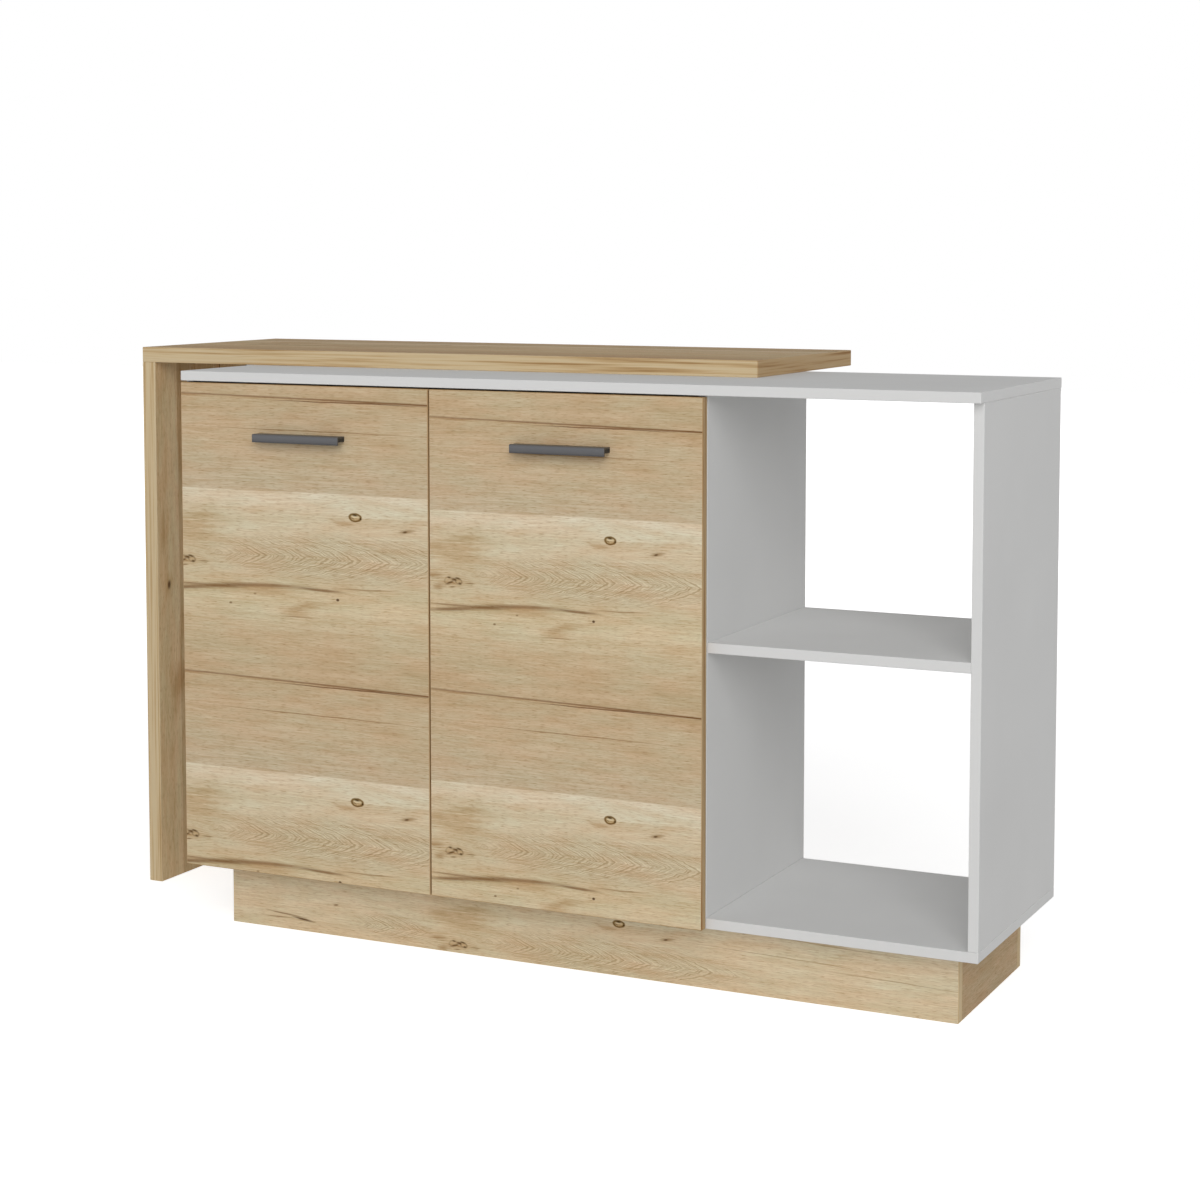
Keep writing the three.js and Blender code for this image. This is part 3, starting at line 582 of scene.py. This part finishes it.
# The fittings: colour, range of roughness, and the size and height in mm of their marks
fittings = {
    # Gunmetal powder coat on folded steel sheet: fine-grained, satin, dark grey.
    "gunmetal_powder_coat": {
        "colour": "#5f5f61",
        "metallic": 0.75,
        "roughness": (0.35, 0.49),
        "mark": 0.6,
    },
    # Foot under each end of a handle, matt and near black: painted shade, the dark of the shadow
    # between the handle and the door.
    "handle_foot_painted_shade": {"colour": "#242322", "roughness": (0.53, 0.67), "mark": 0.8},
    # Nickel-plated pressed steel: bright, slightly warm, with faint drawing marks.
    "nickel_plated_steel": {
        "colour": "#b9b7b2",
        "metallic": 1.0,
        "roughness": (0.19, 0.33),
        "mark": 3.0,
    },
    # Zinc-plated steel: bluish grey, a little clouded.
    "zinc_plated_steel": {
        "colour": "#a7abb0",
        "metallic": 1.0,
        "roughness": (0.29, 0.43),
        "mark": 5.0,
    },
    # White lacquered hardboard: pressed fibre, smooth rolled lacquer with a faint orange peel.
    "white_lacquered_hardboard": {
        "colour": "#dededc",
        "roughness": (0.45, 0.55),
        "mark": 4.0,
        "height": 0.06,
        "detail": 2.0,
    },
    # Moulded polypropylene block: milky white, fine spark-eroded grain.
    "moulded_polypropylene": {
        "colour": "#dcdcd8",
        "roughness": (0.45, 0.55),
        "mark": 0.8,
        "height": 0.02,
        "detail": 2.0,
    },
    # Soft clear polyurethane bumper: glossy and faintly milky.
    "clear_polyurethane": {"colour": "#d8dcdc", "roughness": (0.1, 0.2), "mark": 6.0, "detail": 2.0},
}
usualFitting = {"metallic": 0.0, "height": 0.01, "detail": 3.0}  # where a fitting names no other


def fittingFinish(name):
    material, tree, shader = startMaterial(name)
    values = {**usualFitting, **fittings[name]}
    addMarks(tree, shader, values)
    shader.inputs["Base Color"].default_value = linearColour(values["colour"])
    shader.inputs["Metallic"].default_value = values["metallic"]
    return material


finishes = {name: fittingFinish(name) for name in fittings}
finishes.update({name: oakEdgeBand(name) for name in oakBands})
white, whiteBandFinish, chipboard = whiteMelamine(), whiteEdgeBand(), rawChipboard()
print("finishes made")

# Surfaces. A section lies in its own two axes and is carried along the third, in the cyclic order
# that keeps the faces outwards: along X it lies in Y and Z, along Y in Z and X, along Z in X and Y.
cornerSteps = 5
arrisSteps = 4
boreSides = 32
support = 0.6 * mm  # where the shading of a rounded arris ends on the flat beside it
smallestArea = 1e-14  # of a triangle in a cap, in square metres
weldDistance = 0.002 * mm
# Screw heads: steps of the dome, its height at the rim as a share of the whole, and the recess in
# shares of the head's radius and height
screwShape = {"rings": 16, "sides": 48, "rim": 0.3, "bar": 0.16, "arm": 0.62, "depth": 0.75}


# A rectangle with rounded corners: each corner is a quarter circle about its own centre, with one
# more point on the flat before and after it.
def roundedRectangle(low, high, radius):
    middle, half = (low + high) / 2, (high - low) / 2
    angle = np.linspace(0, np.pi / 2, cornerSteps)
    arc = np.stack([np.cos(angle), np.sin(angle)], axis=1) * radius
    before, after = np.array([[radius, -support]]), np.array([[-support, radius]])
    corner = np.concatenate([before, arc, after])
    turns = [np.array([[1, 0], [0, 1]]), np.array([[0, 1], [-1, 0]])]
    turns += [-turns[0], -turns[1]]
    signs = np.array([[1, 1], [-1, 1], [-1, -1], [1, -1]])
    loops = [corner @ turn + sign * (half - radius) for turn, sign in zip(turns, signs)]
    return np.concatenate(loops) + middle


# Outward unit normals of a closed anticlockwise outline, lengthened at each corner so that moving
# the outline in by a distance keeps its sides parallel: the sum of the two side normals over one
# plus their dot product.
def outlineNormals(outline):
    side = np.roll(outline, -1, axis=0) - outline
    normal = np.stack([side[:, 1], -side[:, 0]], axis=1)
    normal /= np.linalg.norm(normal, axis=1, keepdims=True)
    previous = np.roll(normal, 1, axis=0)
    return (normal + previous) / (1 + np.sum(normal * previous, axis=1, keepdims=True))


# Collects the surfaces of one piece: points, faces and the finish and shading of each face.
class Surface:
    def __init__(self, axis):
        self.order = {0: [2, 0, 1], 1: [1, 2, 0], 2: [0, 1, 2]}[axis]
        self.points, self.faces, self.slots, self.smooth = [], [], [], []
        self.count = 0

    def add(self, points, faces, slot, smooth):
        self.points.append(np.asarray(points)[:, self.order])
        self.faces += (np.asarray(faces) + self.count).tolist()
        self.slots += [slot] * len(faces)
        self.smooth += [smooth] * len(faces)
        self.count += len(points)

    # Quads between rings of points, each ring joined to the next.
    def addRings(self, rings, slot):
        rows, columns = rings.shape[:2]
        index = np.arange(rows * columns).reshape(rows, columns)
        here, above = index[:-1], index[1:]
        faces = np.stack([here, np.roll(here, -1, 1), np.roll(above, -1, 1), above], axis=-1)
        self.add(rings.reshape(-1, 3), faces.reshape(-1, 4), slot, True)

    # Triangles that fill an outline round its holes, facing up or down the third axis.
    def addCap(self, outline, holes, level, up, slot):
        loops = [outline, *holes]
        flat = np.concatenate(loops)
        triangles = tessellate_polygon([[Vector((*p, 0)) for p in loop] for loop in loops])
        faces = np.array(triangles)
        a, b, c = (flat[faces[:, i]] for i in range(3))
        area = (b - a)[:, 0] * (c - a)[:, 1] - (b - a)[:, 1] * (c - a)[:, 0]
        sound = np.abs(area) > smallestArea
        faces = faces[sound]
        wrong = (area[sound] > 0) != up
        faces[wrong] = faces[wrong][:, ::-1]
        points = np.column_stack([flat, np.full(len(flat), level)])
        self.add(points, faces, slot, False)

    # A blind bore into the upper or lower face: a circle, its copy at the floor, and the floor.
    def addBore(self, centre, radius, level, depth, up, slot):
        turn = np.linspace(0, 2 * np.pi, boreSides, endpoint=False) * (1 if up else -1)
        circle = np.array(centre) + radius * np.stack([np.cos(turn), np.sin(turn)], axis=1)
        floor = level - depth if up else level + depth
        rings = np.stack([np.column_stack([circle, np.full(boreSides, h)]) for h in (level, floor)])
        self.addRings(rings, slot)
        self.addCap(circle, [], floor, up, slot)
        return circle

    # The outline carried from one level to the other, with both ends rounded over by a radius: at
    # an angle a the section is moved in by r(1 - sin a) and up from its end by r(1 - cos a).
    def addCarried(self, outline, low, high, radius, faceSlot, edgeSlot, bores=()):
        angle = np.linspace(0, np.pi / 2, arrisSteps)
        inset = np.append(radius * (1 - np.sin(angle)), 0)
        rise = np.append(radius * (1 - np.cos(angle)), radius + min(support, (high - low) / 8))
        insets = np.concatenate([inset, inset[::-1]])
        levels = np.concatenate([low + rise, high - rise[::-1]])
        sections = outline - outlineNormals(outline) * insets[:, None, None]
        heights = np.broadcast_to(levels[:, None, None], (*sections.shape[:2], 1))
        rings = np.concatenate([sections, heights], axis=2)
        self.addRings(rings, edgeSlot)
        for up, level, section in ((True, high, sections[-1]), (False, low, sections[0])):
            holes = [
                self.addBore(bore["centre"], bore["radius"], level, bore["depth"], up, bore["slot"])
                for bore in bores
                if bore["up"] == up
            ]
            self.addCap(section, holes, level, up, faceSlot)

    # A pan-head screw. The head is a dome whose height falls with the cube of its radius, less a
    # cross of two bars that is deepest in the middle and runs out at the ends of its arms.
    def addScrew(self, centre, level, up, size, slot):
        measures = ("head", "rise", "shank", "length")
        radius, height, shank, length = (size[key] * mm for key in measures)
        share = np.linspace(1, 0, screwShape["rings"])
        rim = screwShape["rim"]
        dome = height * (rim + (1 - rim) * np.sqrt(1 - share**3))
        radii = np.concatenate([[0, shank, shank, radius], radius * share])
        heights = np.concatenate([[-length, shank - length, 0, 0], dome])
        turn = np.linspace(0, 2 * np.pi, screwShape["sides"], endpoint=False)
        distance, angle = np.meshgrid(radii, turn * (1 if up else -1), indexing="ij")
        flat = np.stack([distance * np.cos(angle), distance * np.sin(angle)], axis=2)
        near, far = (pick(np.abs(flat), axis=2) / radius for pick in (np.min, np.max))
        inCross = (near < screwShape["bar"]) & (far < screwShape["arm"]) & (heights[:, None] > 0)
        pit = height * screwShape["depth"] * (1 - far / screwShape["arm"]) * inCross
        rise = (heights[:, None] - pit) * (1 if up else -1)
        rings = np.concatenate([flat + np.array(centre), (level + rise)[:, :, None]], axis=2)
        self.addRings(rings, slot)

    # The finished piece, in place, riding on its body and standing for its nodes.
    def build(self, name, materials, body, slotName, *nodes):
        mesh = bpy.data.meshes.new(name)
        mesh.from_pydata(np.concatenate(self.points).tolist(), [], self.faces)
        mesh.polygons.foreach_set("material_index", self.slots)
        mesh.polygons.foreach_set("use_smooth", self.smooth)
        for material in materials:
            mesh.materials.append(material)
        piece = bpy.data.objects.new(name, mesh)
        bpy.context.scene.collection.objects.link(piece)
        weld = piece.modifiers.new("weld", "WELD")
        weld.merge_threshold = weldDistance
        mesh.update()
        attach(piece, body)
        if nodes:
            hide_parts(*nodes)
        return piece


# The lowest and highest corners of a node, as arrays.
def nodeBox(name):
    low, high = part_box(name)
    return np.array(low), np.array(high)


# Boards: a rounded rectangle carried through the board's thickness.
boardShape = {"arris": 0.9 * mm, "corner": 1.1 * mm}


def makeBoard(node, axis, materials, body, slotName, bores=(), name=None):
    low, high = nodeBox(node)
    first, second = (axis + 1) % 3, (axis + 2) % 3
    outline = roundedRectangle(low[[first, second]], high[[first, second]], boardShape["corner"])
    surface = Surface(axis)
    surface.addCarried(outline, low[axis], high[axis], boardShape["arris"], 0, 1, bores)
    return surface.build(name or f"{node}_board", materials, body, slotName, node)


# White boards, each with the number of its thickness axis
whiteBoards = {"white_top": 2, "side_right": 0, "bottom_panel": 2, "bay_shelf": 2, "cupboard_shelf": 2}
# Holes for the shelf pins in the cupboard's two walls: one for each pin, and one below and above it
pinHoles = {"radius": 2.5, "depth": 9.0, "pitch": 32.0, "rows": (-1, 0, 1)}
boreSlot = 2  # the third finish of a bored board, the raw chipboard


def makePinHoles(wall, up):
    bores = []
    for end in ("front", "back"):
        low, high = nodeBox(f"shelf_pin_{wall}_{end}")
        y, z = (low + high)[1:] / 2
        radius, depth = pinHoles["radius"] * mm, pinHoles["depth"] * mm
        for row in pinHoles["rows"]:
            centre = (y, z + row * pinHoles["pitch"] * mm)
            bore = {"centre": centre, "radius": radius, "depth": depth, "up": up, "slot": boreSlot}
            bores.append(bore)
    return bores


def makeCarcass():
    faces = [white, whiteBandFinish, chipboard]
    for node, axis in whiteBoards.items():
        makeBoard(node, axis, faces, "carcass", "white_melamine")
    for node, wall, up in (("side_left", "left", True), ("divider", "right", False)):
        makeBoard(node, 0, faces, "carcass", "white_melamine", makePinHoles(wall, up))


makeCarcass()
print("white boards made")

# Oak boards: the thickness axis, and where the print lies on each: its two axes (along the grain and
# across it), the place of its big knot in millimetres, and how far the print is stretched. Some have
# a tint over the whole print, and the leg has marks of its own.
oakBoards = {
    "plinth_front": {"thin": 1, "axes": (0, 2), "start": (195.1, 77.8), "stretch": (1.05, 0.88)},
    "plinth_back": {"thin": 1, "axes": (0, 2), "start": (-120, -40), "stretch": (1, 1)},
    "plinth_left": {"thin": 0, "axes": (1, 2), "start": (-400, -50), "stretch": (1, 1)},
    "plinth_right": {
        "thin": 0,
        "axes": (1, 2),
        "start": (-420, -50),
        "stretch": (1, 1),
        "tint": "#f0eae4",
    },
    "plinth_rail": {"thin": 0, "axes": (1, 2), "start": (-300, -60), "stretch": (1, 1)},
    "bar_top": {
        "thin": 2,
        "axes": (0, 1),
        "start": (-330, 190),
        "stretch": (1.1, 1),
        "tint": "#e3d9cc",
    },
    "bar_leg": {
        "thin": 0,
        "axes": (2, 1),
        "start": (500, -58),
        "stretch": (1, 1),
        "tint": "#fff4e2",
        "knots": {},
        "cathedral": False,
        "marks": legMarksAndShade,
    },
}
bandOfAxis = ("oak_edge_band_x", "oak_edge_band_y", "oak_edge_band_bar")  # for each thickness axis
doorPrints = {
    "left": {"axes": (0, 2), "start": (-216.8, 661.7), "stretch": (1.2, 1.072)},
    "right": {"axes": (0, 2), "start": (206.8, 649.2), "stretch": (1, 1)},
}


def makeOakBoards():
    for node, layout in oakBoards.items():
        thin = layout["thin"]
        materials = [oakDecor(f"oak_decor_{node}", layout), finishes[bandOfAxis[thin]]]
        makeBoard(node, thin, materials, "carcass", "oak_decor")


# Doors: each has a bore behind every hinge cup.
cupBore = {"radius": 17.5, "depth": 11.8}


def makeDoor(side):
    bores = []
    for level in ("lower", "upper"):
        low, high = nodeBox(f"hinge_cup_{side}_{level}")
        x, _, z = (low + high) / 2
        radius, depth = cupBore["radius"] * mm, cupBore["depth"] * mm
        bore = {"centre": (z, x), "radius": radius, "depth": depth, "up": True, "slot": boreSlot}
        bores.append(bore)
    decor, band = oakDecor(f"oak_decor_door_{side}", doorPrints[side]), finishes["oak_edge_band_door_painted_shade"]
    makeBoard(f"door_{side}", 1, [decor, band, chipboard], f"door_{side}", "oak_decor", bores)


makeOakBoards()
for side in ("left", "right"):
    makeDoor(side)
print("oak boards and doors made")

# Handles in millimetres: folded sheet with a plate in front and a flange on top, and a foot under
# each end
handleShape = {
    "sheet": 2.5,
    "outerBend": 2.0,
    "innerBend": 0.4,
    "foot": (8.0, 5.5),  # width and height
    "footCorner": 1.05,
    "footInset": 0.1,  # from the end of the handle
    "footBite": 0.2,  # into the flange
    "edge": 0.35,
    "bendSteps": 6,
}


# The folded section in Y and Z, anticlockwise seen from the right: two straight walls with a
# quarter circle outside the fold and a smaller one inside it, and half rounds left to the edges.
def handleSection(low, high):
    sheet, outer, inner = (handleShape[key] * mm for key in ("sheet", "outerBend", "innerBend"))
    front, back, bottom, top = low[1], high[1], low[2], high[2]
    turn = np.linspace(np.pi / 2, np.pi, handleShape["bendSteps"])
    arc = np.stack([np.cos(turn), np.sin(turn)], axis=1)
    fold = arc * outer + (front + outer, top - outer)
    crease = arc[::-1] * inner + (front + sheet + inner, top - sheet - inner)
    ends = np.array([[back, top - sheet], [back, top]])
    tip = np.array([[front, bottom], [front + sheet, bottom]])
    return np.concatenate([ends, fold, tip, crease])


def makeHandle(side):
    low, high = nodeBox(f"handle_{side}")
    edge = handleShape["edge"] * mm
    surface = Surface(0)
    surface.addCarried(handleSection(low, high), low[0], high[0], edge, 0, 0)
    width, height = (size * mm for size in handleShape["foot"])
    keys = ("footCorner", "footInset", "footBite", "sheet")
    corner, inset, bite, sheet = (handleShape[key] * mm for key in keys)
    front, under = low[1] + sheet, high[2] - sheet
    lowest, highest = np.array([front, under - height]), np.array([high[1], under + bite])
    foot = roundedRectangle(lowest, highest, corner)
    for start in (low[0], high[0] - width):
        surface.addCarried(foot, start + inset, start + width - inset, edge, 1, 1)
    # The feet get the near-black finish, which is painted shade.
    finish = [finishes["gunmetal_powder_coat"], finishes["handle_foot_painted_shade"]]
    surface.build(f"handle_{side}_bar", finish, f"door_{side}", "handle_metal", f"handle_{side}")


for side in ("left", "right"):
    makeHandle(side)
print("handles made")

# Screws in millimetres. The CAD has those of the handles and the bar, and the holes of the others.
screwSizes = {
    "handle": {"head": 4.0, "rise": 2.0, "shank": 2.0, "length": 24.0},
    "bar": {"head": 4.2, "rise": 2.4, "shank": 2.0, "length": 27.0},
    "hinge": {"head": 3.4, "rise": 1.4, "shank": 1.9, "length": 6.0},
    "bracket": {"head": 4.4, "rise": 1.8, "shank": 2.3, "length": 8.0},
}
# Where the holes lie, as in the CAD
screwPlaces = {
    "wing": 24.0,  # from the cup's middle, up and down
    "plateSetback": 37.0,  # behind the front edge of the wall
    "platePitch": 32.0,
    "plateThickness": 2.0,
    "bracketInset": 26.0,  # from the bend
    "bracketThickness": 2.5,
}


def makeScrews():
    away = {key: value * mm for key, value in screwPlaces.items()}
    wallFront = nodeBox("side_left")[0][1]

    # The screws of one part: the number of their axis, and the middle, level and side of each.
    def screws(name, kind, axis, places, finish, body, slotName, *nodes):
        surface = Surface(axis)
        for centre, level, up in places:
            surface.addScrew(centre, level, up, screwSizes[kind], 0)
        surface.build(name, [finishes[finish]], body, slotName, *nodes)

    for side in ("left", "right"):
        for end in ("a", "b"):
            node = f"handle_screw_{side}_{end}"
            low, high = nodeBox(node)
            centre = ((low + high) / 2)[[2, 0]]
            seat = high[1] - screwSizes["handle"]["rise"] * mm
            finish, body = "zinc_plated_steel", f"door_{side}"
            places = [(centre, seat, True)]
            screws(f"{node}_turned", "handle", 1, places, finish, body, "zinc_steel", node)
        for level in ("lower", "upper"):
            hinge = f"{side}_{level}"
            low, high = nodeBox(f"hinge_cup_{hinge}")
            x, _, z = (low + high) / 2
            places = [((z + step, x), high[1], True) for step in (-away["wing"], away["wing"])]
            finish = "nickel_plated_steel"
            screws(f"cup_screws_{hinge}", "hinge", 1, places, finish, f"door_{side}", "hinge_steel")
            low, high = nodeBox(f"hinge_plate_{hinge}")
            onLeft = side == "left"
            face = low[0] + away["plateThickness"] if onLeft else high[0] - away["plateThickness"]
            y, z = wallFront + away["plateSetback"], (low[2] + high[2]) / 2
            halfPitch = away["platePitch"] / 2
            places = [((y, z + step), face, onLeft) for step in (-halfPitch, halfPitch)]
            screws(f"plate_screws_{hinge}", "hinge", 0, places, finish, "carcass", "hinge_steel")

    finish = "zinc_plated_steel"
    for place in range(1, 5):
        node = f"bar_screw_{place}"
        low, high = nodeBox(node)
        seat = low[2] + screwSizes["bar"]["rise"] * mm
        places = [(((low + high) / 2)[:2], seat, False)]
        screws(f"{node}_turned", "bar", 2, places, finish, "carcass", "zinc_steel", node)
    for end in ("front", "back"):
        low, high = nodeBox(f"leg_bracket_{end}")
        y = (low[1] + high[1]) / 2
        beside = [((y, high[2] - away["bracketInset"]), low[0] + away["bracketThickness"], True)]
        below = [((low[0] + away["bracketInset"], y), high[2] - away["bracketThickness"], False)]
        name = f"bracket_screw_{end}"
        screws(f"{name}_leg", "bracket", 0, beside, finish, "carcass", "zinc_steel")
        screws(f"{name}_bar", "bracket", 2, below, finish, "carcass", "zinc_steel")


makeScrews()
print("screws made")

# The nodes whose own shape stays, by the first words of their names
keptNodes = {
    "hinge_": "nickel_plated_steel",
    "shelf_pin_": "nickel_plated_steel",
    "leg_bracket_": "zinc_plated_steel",
    "back_panel": "white_lacquered_hardboard",
    "plinth_block_": "moulded_polypropylene",
    "door_bumper_": "clear_polyurethane",
}
for name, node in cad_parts.items():
    for start, finish in keptNodes.items():
        if name.startswith(start):
            for slot in node.material_slots:
                slot.material = finishes[finish]
print("kept nodes finished")

# Studio: a white floor and surround, a broad soft lamp beside the camera and even light all round
studio = {
    "floorHalf": 14.0,
    "floorColour": "#f0f0f0",
    "floorGlow": (0.66, 1.0),  # near and far, for the camera and reflections: a white floor
    "glowReach": (1.6, 4.5),  # metres from the middle, between near and far
    "around": (0.68, 0.155),  # light from all round, at the horizon and straight above
    "lampAzimuth": 24.0,  # degrees to the right of the front
    "lampHeight": 28.0,  # degrees above the middle of the island
    "lampDistance": 14.0,
    "lampSize": 9.0,
    "lampPower": 790.0,
}


def makeStudio():
    half = studio["floorHalf"]
    corners = [(-half, -half, 0), (half, -half, 0), (half, half, 0), (-half, half, 0)]
    mesh = bpy.data.meshes.new("studio_floor")
    mesh.from_pydata(corners, [], [(0, 1, 2, 3)])
    floor = bpy.data.objects.new("studio_floor", mesh)
    bpy.context.scene.collection.objects.link(floor)
    material, tree, shader = startMaterial("studio_floor")
    shader.inputs["Base Color"].default_value = linearColour(studio["floorColour"])
    shader.inputs["Roughness"].default_value = 1.0
    shader.inputs["Specular IOR Level"].default_value = 0.0
    middle = addNode(tree, "TexCoord").outputs["Object"]
    away = addNode(tree, "VectorMath", {0: middle}, operation="LENGTH").outputs["Value"]
    (near, far), (low, high) = studio["glowReach"], studio["floorGlow"]
    strength = addNode(tree, "MapRange", {0: away, 1: near, 2: far, 3: low, 4: high})
    glow = addNode(tree, "Emission", {"Strength": strength.outputs[0]})
    both = addNode(tree, "AddShader", {0: shader.outputs[0], 1: glow.outputs[0]})
    seen = directRays(tree)
    mixed = addNode(tree, "MixShader", {0: seen, 1: shader.outputs[0], 2: both.outputs[0]})
    tree.links.new(mixed.outputs[0], tree.nodes["Material Output"].inputs["Surface"])
    mesh.materials.append(material)

    world = bpy.data.worlds.new("studio")
    bpy.context.scene.world = world
    world.use_nodes = True
    tree = world.node_tree
    tree.nodes.clear()
    direction = addNode(tree, "SeparateXYZ", {0: addNode(tree, "TexCoord").outputs["Generated"]})
    level, above = studio["around"]
    fading = addNode(tree, "MapRange", {0: direction.outputs[2], 3: level, 4: above})
    around = addNode(tree, "Background", {"Strength": fading.outputs[0]})
    backdrop = addNode(tree, "Background", {"Strength": 1.0})
    for light in (around, backdrop):
        light.inputs["Color"].default_value = (1, 1, 1, 1)
    seen = directRays(tree)
    mixed = addNode(tree, "MixShader", {0: seen, 1: around.outputs[0], 2: backdrop.outputs[0]})
    output = addNode(tree, "OutputWorld", {0: mixed.outputs[0]})
    output.is_active_output = True

    lamp = bpy.data.lights.new("studio_lamp", "AREA")
    lamp.size = studio["lampSize"]
    lamp.energy = studio["lampPower"]
    place = bpy.data.objects.new("studio_lamp", lamp)
    turn, rise = math.radians(studio["lampAzimuth"]), math.radians(studio["lampHeight"])
    level = Vector((math.sin(turn), -math.cos(turn), 0)) * math.cos(rise)
    towards = level + Vector((0, 0, math.sin(rise)))
    middle = sum((Vector(corner) for corner in cadBounds), Vector()) / 2
    place.location = middle + towards * studio["lampDistance"]
    place.rotation_mode = "QUATERNION"
    place.rotation_quaternion = towards.to_track_quat("Z", "Y")
    bpy.context.scene.collection.objects.link(place)


# One where a ray comes straight from the camera or through a reflection, for a white surround.
def directRays(tree):
    path = addNode(tree, "LightPath")
    seen = path.outputs["Is Camera Ray"]
    for kind in ("Is Glossy Ray", "Is Transmission Ray"):
        seen = addNode(tree, "Math", {0: seen, 1: path.outputs[kind]}, operation="MAXIMUM").outputs[0]
    return seen


makeStudio()
bpy.context.scene.view_settings.view_transform = "Standard"
print("studio set")
